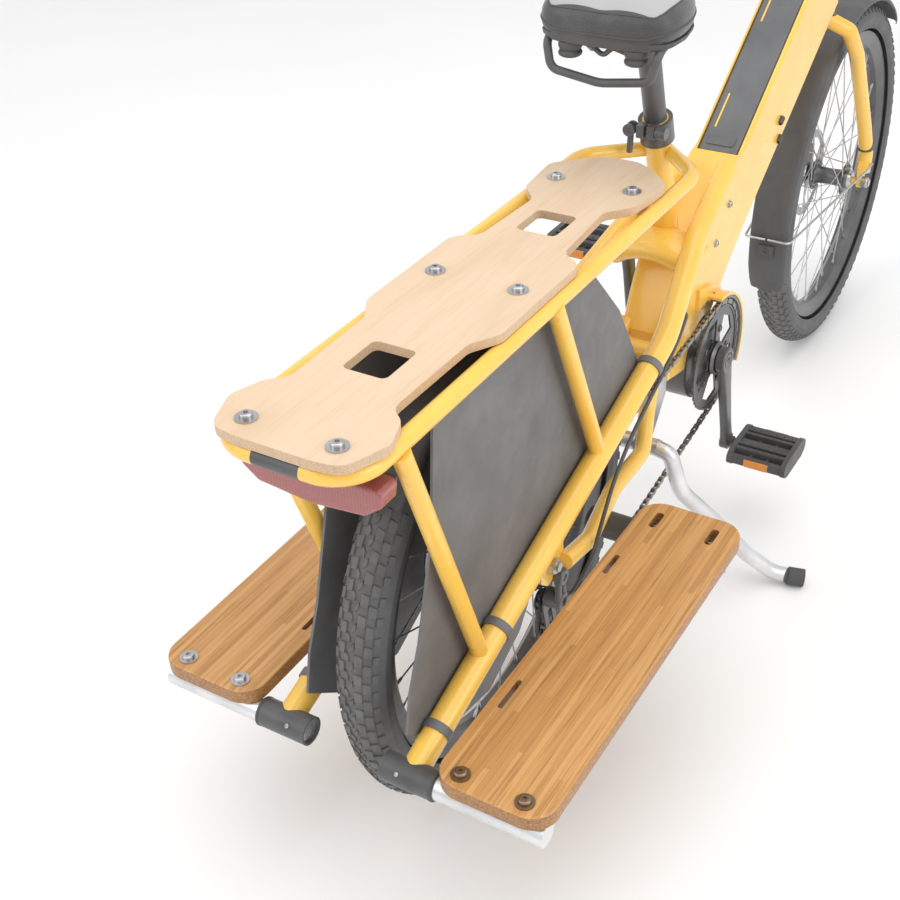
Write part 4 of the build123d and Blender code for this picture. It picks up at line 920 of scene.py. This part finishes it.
def make_chain():
    piece = Piece("linked_chain")
    pins = evenly_spaced(chain_route(), CHAIN_PITCH)
    for k, (x, z) in enumerate(pins):
        nx, nz = pins[(k + 1) % len(pins)]
        along = Vector((nx - x, 0, nz - z)).normalized()
        across = Vector((-along.z, 0, along.x))
        reach = hypot(nx - x, nz - z)
        link = []
        for centre, start in ((0.0, 90), (reach, -90)):
            link += circle_points((centre, 0.0), 3.8, 6, start, start + 180)
            link.append((reach / 2, 2.7 if centre else -2.7))
        outer = k % 2 == 0
        for side in SIDES:
            face = CHAIN_Y + side * (2.45 if outer else 1.6)
            origin = (x, face + (0.7 if side > 0 else 0.0), z)
            piece.plate(link, origin, along, across, 0.7)
        piece.turned((x, CHAIN_Y, z), (0, 1, 0), [(1.6, -3.3), (1.9, -3.1), (1.9, -1.6), (3.7, -1.5), (3.7, 1.5), (1.9, 1.6),
                                                  (1.9, 3.1), (1.6, 3.3)], 10)
    piece.finish("frame", "dark_steel", CHAIN_FINISH, ["chain"], crease=30)


def make_ring_details():
    piece = Piece("chainring_bolts_and_guard")
    for k in range(5):
        place = polar(CRANK, 44, 72 * k, CHAIN_Y - 1.2)
        piece.turned(place, (0, -1, 0), [(5.2, -0.5), (5.2, 1.4), (4.4, 2.1), (2.6, 2.1), (2.4, 0.8)], 20)
    rim = [(77.0, CHAIN_Y - 1.2), (80.2, CHAIN_Y - 1.2), (80.0, CHAIN_Y - 2.5), (77.2, CHAIN_Y - 2.5)]
    piece.turned((CRANK.x, 0, CRANK.z), (0, 1, 0), rim, 84, looped=True)
    spider = [(10.4, CHAIN_Y - 2.0), (24, CHAIN_Y - 2.0), (25, CHAIN_Y - 4.0), (22, CHAIN_Y - 8.2), (10.4, CHAIN_Y - 8.6)]
    piece.turned((CRANK.x, 0, CRANK.z), (0, 1, 0), spider, 48, looped=True)
    piece.finish("crank", "dark_steel", DARK_FINISH)


def make_cassette_details():
    piece = Piece("cassette_lockring")
    outer = in_mm(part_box("cassette")[0]).y
    piece.turned((REAR_AXLE.x, outer, REAR_AXLE.z), (0, -1, 0),
                 [(7.2, -1.0), (15.8, -1.0), (15.8, 0.8), (14.8, 1.4), (10.2, 1.4), (9.6, 0.4), (7.2, 0.4)], 36, looped=True)
    for k in range(12):
        piece.turned(polar(REAR_AXLE, 12.6, 30 * k, outer - 1.2), (0, -1, 0), [(1.1, 0), (1.1, 0.6), (0.7, 0.9)], 6)
    piece.finish("cassette", "steel", STEEL_FINISH)


# ---- derailleur -----------------------------------------------------------------------
def make_derailleur():
    piece = Piece("derailleur_detailed")
    low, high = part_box("derailleur")
    outside = CHAIN_Y - 6.8
    cage = capsule((GUIDE_PULLEY.x, GUIDE_PULLEY.z), 13.5, (TENSION_PULLEY.x, TENSION_PULLEY.z), 12.5)
    window = capsule((20, 218), 4.6, (27, 186), 4.6)
    pierced_plate(piece, cage, window, outside, 1.9)
    pierced_plate(piece, cage, window, CHAIN_Y + 4.7, 1.7)
    for pulley in (GUIDE_PULLEY, TENSION_PULLEY):
        piece.turned((pulley.x, 0, pulley.z), (0, 1, 0), [(3.9, outside + 1), (3.9, CHAIN_Y + 5)], 20)
        socket_bolt(piece, (pulley.x, outside, pulley.z), (0, -1, 0), head_r=4.6, height=2.0)
    knuckle = (14, outside, 246)
    piece.turned(knuckle, (0, -1, 0), [(11.5, -1), (13, 1), (13, 6), (12, 8), (12, 20), (11, 22), (6, 23), (5.2, 21.5)], 36)
    swept_bar(piece, (8, -79.5, 247), (9, -79.5, 284), (1, 0, 0), [(0, 5.2, 4.0), (0.5, 4.2, 3.6), (1, 5.2, 4.0)])
    swept_bar(piece, (20, -79.5, 244), (19, -79.5, 284), (1, 0, 0), [(0, 4.6, 4.0), (0.5, 3.8, 3.6), (1, 4.6, 4.0)])
    piece.turned((14, -75, 284), (0, -1, 0), [(9, 0), (11, 1), (11, 9), (9.5, 10.5), (5, 10.5), (4.4, 9)], 32)
    swept_bar(piece, (16, -82, 247), (36, -82, 240), (0, 1, 0), [(0, 4.5, 5.0), (0.8, 3.6, 3.8), (1, 3.0, 3.2)])
    piece.turned((35, -78, 240), (0, -1, 0), [(3.4, 0), (4.6, 0.6), (4.6, 7), (3.4, 7.8)], 18)
    piece.finish("frame", "black_alloy", BLACK_ALLOY, ["derailleur"])
    return low, high


# ---- cranks and pedals ----------------------------------------------------------------
ARM_MIDDLE_Y = 71.0


def pedal_place(side):
    return in_mm(middle("pedal_left" if side > 0 else "pedal_right"))


def make_cranks():
    piece = Piece("crank_set")
    piece.turned((CRANK.x, 0, CRANK.z), (0, 1, 0), [(9.9, -64), (9.9, 64)], 36)
    for side in SIDES:
        pedal = pedal_place(side)
        boss = (CRANK.x, side * ARM_MIDDLE_Y, CRANK.z)
        eye = (pedal.x, side * ARM_MIDDLE_Y, pedal.z)
        along = (Vector(eye) - Vector(boss)).normalized()
        across = Vector((-along.z, 0, along.x))
        swept_bar(piece, boss, eye, across, [(0, 16.5, 6.8), (0.12, 16.0, 6.9), (0.35, 13.2, 6.6), (0.8, 11.6, 6.0),
                                             (0.93, 12.6, 6.2), (1.0, 12.2, 6.2)])
        start = (CRANK.x, side * 63.6, CRANK.z)
        piece.turned(start, (0, side, 0), [(17.5, 0), (19.5, 1.5), (19.8, 12.6), (18.2, 14.6), (13.4, 14.6), (12.6, 13.4),
                                           (11.8, 12.6)], 40)
        piece.turned(start, (0, side, 0), [(11.0, 12.2), (11.0, 14.0), (10.2, 14.8), (5.4, 14.8), (4.8, 12.8)], 30)
        piece.turned((pedal.x, side * 64, pedal.z), (0, side, 0), [(12, 0), (13.6, 1.2), (13.6, 12.8), (12, 14)], 32)
        piece.turned((pedal.x, side * 78, pedal.z), (0, side, 0), [(8.8, -0.5), (8.8, 5.5), (6.9, 6.2), (6.9, 96)], 24)
    piece.finish("crank", "black_alloy", BLACK_ALLOY, ["crank_arms"], soft_edge=0.5)


def make_pedal(label, side):
    piece = Piece(f"{label}_cage")
    reflectors = Piece(f"{label}_reflectors")
    low, high = (in_mm(corner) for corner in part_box(label))
    centre = (low + high) / 2
    reach = (high.x - low.x) / 2
    height = (high.z - low.z) / 2
    cheek = [(-reach, -5), (-reach, 5), (-reach + 5, 10.5), (-32, height), (32, height), (reach - 5, 10.5),
             (reach, 5), (reach, -5), (reach - 5, -10.5), (32, -height), (-32, -height), (-reach + 5, -10.5)]
    for y, thick in ((low.y, 8.0), (high.y - 8.0, 8.0)):
        outline = [(centre.x + x, centre.z + z) for x, z in cheek]
        piece.loft([[(x, y, z) for x, z in outline], [(x, y + thick, z) for x, z in outline]])
    bars = ((-41.5, 5.2, 8.0), (-27, 3.6, height - 0.8), (-15, 3.0, height - 0.4), (15, 3.0, height - 0.4),
            (27, 3.6, height - 0.8), (41.5, 5.2, 8.0))
    for offset, half_x, half_z in bars:
        swept_bar(piece, (centre.x + offset, low.y + 4, centre.z), (centre.x + offset, high.y - 4, centre.z), (1, 0, 0),
                  [(0, half_x, half_z), (1, half_x, half_z)])
    for share in (0.36, 0.64):
        y = low.y + (high.y - low.y) * share
        swept_bar(piece, (low.x + 3, y, centre.z), (high.x - 3, y, centre.z), (0, 1, 0), [(0, 2.4, 7.0), (1, 2.4, 7.0)])
    for offset in (-27, -15, 15, 27):
        for k in range(6):
            y = low.y + 15 + (high.y - low.y - 30) * k / 5
            for up in SIDES:
                piece.turned((centre.x + offset, y, centre.z + up * (height - 1.4)), (0, 0, up),
                             [(1.7, 0), (1.7, 1.2), (1.1, 1.9)], 8)
    inner_y = low.y if side > 0 else high.y
    piece.turned((centre.x, inner_y, centre.z), (0, side, 0),
                 [(7.5, 0), (11.2, 0), (11.2, 3), (10.2, 8), (10.2, 84), (11.2, 88), (11.2, 91.6), (7.5, 91.6)], 32, looped=True)
    for end in SIDES:
        x = centre.x + end * (reach - 1.4)
        middle_y = (low.y + high.y) / 2
        outline = rounded_outline(19, 6.4, 1.6)
        reflectors.loft([[(x, middle_y + u, centre.z + v) for u, v in outline],
                         [(x + end * 1.5, middle_y + u * 0.97, centre.z + v * 0.93) for u, v in outline]])
    piece.finish(label, "black_plastic", BLACK_PLASTIC, [label], soft_edge=0.5)
    reflectors.finish(label, "black_plastic", AMBER_LENS)


# ---- motor, guard, brakes and frame fittings ------------------------------------------
def make_motor_details():
    piece = Piece("motor_covers")
    for side in SIDES:
        face = (CRANK.x, side * 36, CRANK.z)
        piece.turned(face, (0, side, 0), [(45, 0), (62.5, 0), (62.5, 1.6), (60, 3.4), (50, 4.4), (45, 4.8)], 72, looped=True)
        for k in range(6):
            socket_bolt(piece, polar(CRANK, 57, 60 * k + 15, side * 39), (0, side, 0), head_r=3.2, height=2.4)
        cap = (CRANK.x, side * 45.6, CRANK.z)
        piece.turned(cap, (0, side, 0), [(10.6, 0), (43, 0), (42, 1.8), (30, 3.0), (22, 3.2), (20, 5.4), (10.6, 5.4)], 60, looped=True)
    piece.finish("frame", "black_alloy", BLACK_ALLOY)
    ring = Piece("guard_inner_ring")
    band = [(90.5, -46), (94.4, -46), (94.4, -60.5), (90.5, -60.5)]
    rings = []
    for k in range(40):
        angle = -28 + 118 * k / 39
        rings.append([polar(CRANK, r, angle, y) for r, y in band])
    ring.loft(rings)
    for angle in (24, 84):
        socket_bolt(ring, polar(CRANK, 97, angle, -44), (0, -1, 0), head_r=3.4, height=2.2)
    ring.finish("frame", "black_alloy", GUARD_GREY)


def make_brake_details():
    rear = Piece("rear_caliper_details")
    front = Piece("front_caliper_details")
    for piece, x, z, face, spread in ((rear, -46, 384, 58, 16), (front, 1196, 362, 45, 15)):
        piece.turned((x, face, z), (0, 1, 0), [(12.6, -0.5), (12.6, 1.6), (11.2, 2.9), (6, 2.9), (5.4, 1.8), (2.5, 1.8)], 32)
        for dx, dz in ((-spread, -9), (spread, 9)):
            socket_bolt(piece, (x + dx, face - 0.4, z + dz), (0, 1, 0), head_r=3.6, height=3.0)
        for dx in (-9, 9):
            swept_bar(piece, (x + dx, face - 14, z + 15), (x + dx, face - 3, z + 15), (1, 0, 0), [(0, 3.6, 4.4), (1, 3.6, 4.4)])
    socket_bolt(rear, (-12, 57.5, 334), (0, -1, 0), head_r=5.0, height=3.0)
    rear.finish("frame", "black_alloy", BLACK_ALLOY)
    front.finish("steering", "black_alloy", BLACK_ALLOY)


def make_frame_fittings():
    bolts = Piece("frame_bolts")
    face = -in_mm(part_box("down_tube")[1]).y
    for x, z in ((617, 512), (574, 469)):
        socket_bolt(bolts, (x, face, z), (0, -1, 0), head_r=4.6, height=2.8, washer_r=6.2)
        socket_bolt(bolts, (x, -face, z), (0, 1, 0), head_r=4.6, height=2.8, washer_r=6.2)
    for side in SIDES:
        for x, z in ((STAND.x, STAND.z),):
            bolts.turned((x, side * 57.6, z), (0, side, 0), [(9.5, 0), (9.5, 2.0), (8.4, 3.0), (4.2, 3.0), (3.6, 1.2)], 28)
        socket_bolt(bolts, (-320 - 13.4, side * 70, 262 + 9.3), (-0.82, 0, 0.57), head_r=2.6, height=1.6)
        socket_bolt(bolts, (REAR_AXLE.x - 17, side * 74, 340), (0, side, 0), head_r=3.8, height=2.6)
    bolts.finish("frame", "steel", STEEL_FINISH)
    guides = Piece("cable_guides")
    for x, z in ((813, 570), (813, 541)):
        guides.turned((x - 4, face - 1.5, z), (0.84, 0, 0.55), [(2.7, -6), (4.4, -6), (4.9, -4), (4.9, 4), (4.4, 6), (2.7, 6)], 20,
                      looped=True)
    lip = [(17.0, -1.0), (20.4, -1.0), (20.4, 3.0), (19.2, 4.0), (17.0, 4.0)]
    for side in SIDES:
        guides.turned((-320, side * 110.6, 262), (0, side, 0), [(14.2, -2), (16.9, -2), (16.9, 0.8), (16.0, 1.6), (14.2, 1.6)], 36,
                      looped=True)
        guides.turned((158, side * 110.6, 262), (0, side, 0), [(14.2, -2), (18.3, -2), (18.3, 0.8), (17.2, 1.6), (14.2, 1.6)], 36,
                      looped=True)
    guides.finish("frame", "black_paint", BLACK_PLASTIC)
    return lip


def make_fork_fittings():
    clips = Piece("fork_clips")
    at = polar(FRONT_AXLE, WHEEL_R + 15.4, 181.5, 0)
    clips.block((at.x - 2.6, -13, at.z - 9), (at.x + 1.0, 13, at.z + 9))
    socket_bolt(clips, (at.x - 2.4, 0, at.z), (-1, 0, 0), head_r=4.2, height=2.4)
    for side in SIDES:
        clips.turned((1245.5, side * 57.6, 376), (0.12, 0, -1), [(12.7, -6), (13.6, -6), (13.6, 6), (12.7, 6)], 30, looped=True)
    clips.finish("steering", "black_plastic", BLACK_PLASTIC)
    ends = Piece("axle_caps")
    for side in SIDES:
        ends.turned((FRONT_AXLE.x, side * 68, FRONT_AXLE.z), (0, side, 0), [(9.6, 0), (9.6, 1.4), (8.4, 3.6), (6.1, 4.2)], 28)
    ends.finish("steering", "steel", STEEL_FINISH)


# ---- handlebar, stem and headlight ----------------------------------------------------
GRIP_START, BAR_END = Vector((930, 210, 1052)), Vector((856, 345, 1054))
BAR_CENTRE = Vector((988, 0, 1010))


def make_grips():
    piece = Piece("ribbed_grips")
    along = (BAR_END - GRIP_START).normalized()
    length = (BAR_END - GRIP_START).length
    profile = [(11.3, 34), (16.6, 34), (17.0, 36), (17.0, 39), (15.4, 41)]
    ribs = 15
    for k in range(ribs):
        start = 43 + (length - 58) * k / ribs
        step = (length - 58) / ribs
        profile += [(15.2, start), (16.3, start + step * 0.25), (16.3, start + step * 0.65), (15.2, start + step * 0.9)]
    profile += [(15.4, length - 13), (17.0, length - 10), (17.0, length + 1), (15.5, length + 2.6), (11.3, length + 2.6)]
    for side in SIDES:
        start = Vector((GRIP_START.x, side * GRIP_START.y, GRIP_START.z))
        piece.turned(start, (along.x, side * along.y, along.z), profile, 36, looped=True)
        cap = start + Vector((along.x, side * along.y, along.z)) * (length + 2.0)
        piece.turned(cap, (along.x, side * along.y, along.z), [(11.2, 0), (11.2, 0.8), (9.6, 1.4), (4, 1.4)], 28)
    piece.finish("steering", "grip_rubber", GRIP_RUBBER, ["grips"])


def make_stem_details():
    piece = Piece("stem_bolts_and_cap")
    forward = Vector((0.70, 0, 0.71))
    across = Vector((-0.71, 0, 0.70))
    for y in (-15, 15):
        for lift in (-11.5, 11.5):
            place = BAR_CENTRE + forward * 18.5 + across * lift + Vector((0, y, 0))
            socket_bolt(piece, place, forward, head_r=3.8, height=4.0)
    piece.plate([(-15, -20), (15, -20), (15, 20), (-15, 20)], BAR_CENTRE + forward * 19.0, across, (0, 1, 0), 0.01)
    axis = Vector((-0.3833, 0, 1)).normalized()
    top = Vector((1198 - 0.3833 * (985 - 294), 0, 985))
    piece.turned(top, axis, [(18.6, -0.5), (18.6, 2.4), (17.2, 4.2), (7.5, 4.6), (5.6, 4.4), (4.4, 2.4)], 40)
    for z in (896, 918):
        place = Vector((1198 - 0.3833 * (z - 294), 0, z)) - Vector((18.0, 0, 7.0))
        socket_bolt(piece, place + Vector((0, -7, 0)), (0, -1, 0), head_r=3.6, height=4.0)
    piece.finish("steering", "black_alloy", BLACK_ALLOY)


def make_lamp_front():
    rim = Piece("headlight_rim")
    rim.turned((1054, 0, 960), (1, 0, -0.04), [(19.8, 3.4), (21.6, 5.0), (24.6, 4.0), (25.0, -3.0), (23.6, -5.0), (23.0, 2.0)], 48,
               looped=True)
    for k in range(3):
        rim.turned((1018 + 9 * k, 0, 961.6), (1, 0, -0.04), [(23.8, 0), (25.2, 0.8), (25.2, 3.2), (23.8, 4.0)], 40, looped=True)
    rim.finish("steering", "black_plastic", BLACK_ALLOY)
    glass = Piece("headlight_lens")
    glass.turned((1058, 0, 959.8), (1, 0, -0.04), [(20.2, -0.4), (19.6, 1.0), (15, 2.6), (8, 3.6), (2, 3.9)], 40)
    glass.finish("steering", "black_plastic", CLEAR_LENS)


# ---- battery --------------------------------------------------------------------------
def make_battery_details():
    piece = Piece("battery_latch_and_caps")
    low, high = (in_mm(corner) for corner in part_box("battery"))
    bottom, top = Vector((650, 0, 573)), Vector((925, 0, 757))
    along = (top - bottom).normalized()
    outward = Vector((-along.z, 0, along.x))
    for share, half_length in ((0.055, 9.0), (0.945, 9.0)):
        centre = bottom.lerp(top, share) + outward * 0.2
        outline = rounded_outline(half_length, 21.0, 4.0)
        piece.loft([[centre + along * u + Vector((0, v, 0)) for u, v in outline],
                    [centre + along * u * 0.93 + Vector((0, v * 0.96, 0)) + outward * 1.3 for u, v in outline]])
    lock = bottom.lerp(top, 0.13) + Vector((0, low.y, 0)) - outward * 24
    piece.turned(lock, (0, -1, 0), [(9.5, -0.4), (9.5, 1.0), (8.6, 1.7), (4.6, 1.7), (4.2, 0.9)], 30)
    piece.finish("battery", "battery_plastic", BLACK_ALLOY)
    accent = Piece("battery_accent_lines")
    for start, end in ((0.70, 0.90), (0.12, 0.30)):
        for side in (1,):
            a = bottom.lerp(top, start) + outward * 0.15 + Vector((0, side * 18, 0))
            b = bottom.lerp(top, end) + outward * 0.15 + Vector((0, side * 18, 0))
            swept_bar(accent, a, b, (0, 1, 0), [(0, 1.3, 0.5), (1, 1.3, 0.5)])
    accent.finish("battery", "battery_plastic", YELLOW)
    return high


# ---- saddle ---------------------------------------------------------------------------
# place along the saddle, half width, and height of the pad there
SADDLE_STATIONS = [(251.5, 46, 20), (255, 66, 31), (264, 78.5, 40), (280, 84.5, 45), (305, 86, 47), (340, 79.5, 46),
                   (370, 64.5, 43), (400, 47.5, 40), (435, 34, 37.5), (470, 27, 35), (500, 23, 32), (514, 18, 27), (521.5, 10.5, 19)]
PAD_FOOT = 846.0
PANEL_STATIONS = range(2, 13)      # the stations that the pale top panel reaches
PANEL_EDGE = 8                     # the section's first point inside the panel
PANEL_REAR = (259.5, 60, 35.5)     # where the panel's edge crosses behind its first station


def saddle_section(half_width, height):
    """Half of the pad's section from the middle of its underside to the middle of its top."""
    shape = [(0.0, 0.0), (0.45, 0.0), (0.86, 0.0), (0.965, 0.07), (1.0, 0.24), (1.0, 0.46), (0.975, 0.66), (0.90, 0.82),
             (0.84, 0.865), (0.70, 0.94), (0.48, 0.995), (0.26, 0.985), (0.10, 0.93), (0.0, 0.91)]
    return [(half_width * a, PAD_FOOT + height * b) for a, b in shape]


def on_surface(piece, route):
    """The places on a piece's finished surface that are nearest to a route."""
    surface = BVHTree.FromObject(piece, bpy.context.evaluated_depsgraph_get())
    return [in_mm(surface.find_nearest(spot(p))[0]) for p in route]


def seam_route(stations, share_width, share_height):
    """A line from the nose round the back of the saddle and along the other side."""
    left = [(x, half_width * share_width, PAD_FOOT + height * share_height)
            for x, half_width, height in reversed(stations)]
    return bezier(left + [(x, -y, z) for x, y, z in reversed(left)], 220)


def make_saddle():
    pad = Piece("saddle_cushion")
    rings = []
    for x, half_width, height in SADDLE_STATIONS:
        half = saddle_section(half_width, height)
        ring = [(x, y, z) for y, z in half] + [(x, -y, z) for y, z in reversed(half[1:-1])]
        rings.append(ring)
    pad.loft(rings)
    share = [float(station in PANEL_STATIONS and min(k, len(ring) - k) >= PANEL_EDGE)
             for station in range(len(rings)) for k in range(len(ring))]
    cushion = pad.finish("seat", "saddle_cover", SADDLE_COVER, ["saddle_pad"], crease=180, levels=2)
    cushion.data.attributes.new("panel", "FLOAT", "POINT").data.foreach_set("value", share)
    seam = Piece("saddle_seams")
    upper = [PANEL_REAR] + SADDLE_STATIONS[PANEL_STATIONS.start:]
    seam.tube(on_surface(cushion, seam_route(SADDLE_STATIONS, 1.0, 0.35)), 1.3, 8)
    seam.tube(on_surface(cushion, seam_route(upper, 0.872, 0.845)), 1.1, 8)
    seam.finish("seat", "saddle_cover", SEAM_CORD)
    base = Piece("saddle_shell")
    levels = [(838.3, 0.80), (840.0, 0.90), (843.0, 0.955), (848.5, 0.975)]
    outline_x = [(x, half_width) for x, half_width, height in SADDLE_STATIONS]
    base_rings = []
    for z, scale in levels:
        left = [(388 + (x - 388) * (0.985 if scale < 0.9 else 0.995), half * scale, z) for x, half in outline_x]
        base_rings.append(left + [(x, -y, z) for x, y, _ in reversed(left)])
    base.loft(base_rings)
    for side in SIDES:
        base.turned((266, side * 41, 821), (0, 0, 1), [(10.5, 0), (13.2, 1.6), (14.0, 4.5), (12.6, 7.2), (11.4, 8.2), (12.8, 9.4),
                                                       (14.0, 12), (13.4, 18)], 32)
        base.turned((455, side * 16, 826), (0, 0, 1), [(7.5, 0), (8.6, 1.5), (8.6, 13)], 24)
    base.finish("seat", "black_plastic", BLACK_PLASTIC, ["saddle_base"], soft_edge=0.6)
    clamp = Piece("saddle_clamp_bolts")
    block = in_mm(middle("seatpost"))
    top = in_mm(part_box("seatpost")[1])
    for side in SIDES:
        clamp.turned((top.x - 30 - 22, side * 14, top.z - 12), (-1, 0, 0.1), [(5.2, -0.5), (5.2, 3.4), (4.4, 4.2), (2.4, 4.2), (2.2, 2)], 20)
    clamp.finish("seat", "steel", STEEL_FINISH)
    return block


make_chain()
make_ring_details()
make_cassette_details()
make_derailleur()
make_cranks()
make_pedal("pedal_left", 1)
make_pedal("pedal_right", -1)
make_motor_details()
make_brake_details()
make_frame_fittings()
make_fork_fittings()
make_grips()
make_stem_details()
make_lamp_front()
make_battery_details()
make_saddle()

SOFTENED = {"deck": 0.8, "skirts": 0.9, "motor_housing": 1.8, "battery": 1.4, "stem": 0.8, "rear_caliper": 0.8,
            "front_caliper": 0.8, "kickstand_bracket": 0.8, "chain_guard": 0.6, "seat_clamp": 0.6, "control_bodies": 0.6,
            "seatpost": 0.6, "board_sockets": 0.8, "board_bars": 0.6, "rack_frame": 0.5, "headlight": 0.8}
for name, width in SOFTENED.items():
    round_edges(NODES[name], width)


# ---- camera, floor and light --------------------------------------------------------
CAMERA_AT = (-1100.5, -650.5, 1322.1)
CAMERA_RIGHT = (0.51756, -0.85463, -0.04178)
CAMERA_UP = (0.49959, 0.26219, 0.82563)
CAMERA_LENS = 54.05


def make_camera():
    data = bpy.data.cameras.new("camera")
    data.lens = CAMERA_LENS
    data.sensor_width = 36.0
    data.clip_end = 60.0
    camera = bpy.data.objects.new("camera", data)
    right = Vector(CAMERA_RIGHT).normalized()
    up = Vector(CAMERA_UP)
    up = (up - right * up.dot(right)).normalized()
    turn = Matrix((right, up, right.cross(up))).transposed()
    camera.matrix_world = Matrix.Translation(spot(CAMERA_AT)) @ turn.to_4x4()
    bpy.context.scene.collection.objects.link(camera)
    bpy.context.scene.camera = camera


def make_lamp(name, place, aim, size, power):
    data = bpy.data.lights.new(name, "AREA")
    data.shape = "RECTANGLE"
    data.size, data.size_y = size
    data.energy = power
    lamp = bpy.data.objects.new(name, data)
    lamp.location = place
    lamp.rotation_mode = "QUATERNION"
    lamp.rotation_quaternion = (Vector(aim) - Vector(place)).to_track_quat("-Z", "Y")
    bpy.context.scene.collection.objects.link(lamp)


def make_floor():
    shade = Shade("pale floor")
    tone = shade.ramp(shade.noise(1.2), [(0.3, (0.93, 0.93, 0.93)), (0.7, (0.96, 0.96, 0.96))])
    shade.set(Base_Color=tone, Roughness=0.7)
    reach = 14.0
    mesh = bpy.data.meshes.new("floor")
    mesh.from_pydata([(-reach, -reach, 0), (reach, -reach, 0), (reach, reach, 0), (-reach, reach, 0)], [],
                     [(0, 1, 2, 3)])
    mesh.materials.append(shade.material)
    floor = bpy.data.objects.new("floor", mesh)
    bpy.context.scene.collection.objects.link(floor)


def make_studio():
    world = bpy.data.worlds.new("studio")
    world.use_nodes = True
    world.node_tree.nodes["Background"].inputs["Color"].default_value = (1, 1, 1, 1)
    world.node_tree.nodes["Background"].inputs["Strength"].default_value = 0.85
    bpy.context.scene.world = world
    bpy.context.scene.view_settings.view_transform = "Standard"
    make_lamp("overhead", (-0.4, -0.3, 3.4), (0, 0, 0.4), (3.4, 3.0), 42)
    make_lamp("left_front", (-2.6, 1.8, 2.2), (0, 0, 0.4), (2.0, 2.0), 18)
    make_lamp("right_side", (-0.6, -3.0, 1.8), (0, 0, 0.4), (2.4, 1.6), 26)


make_camera()
make_floor()
make_studio()
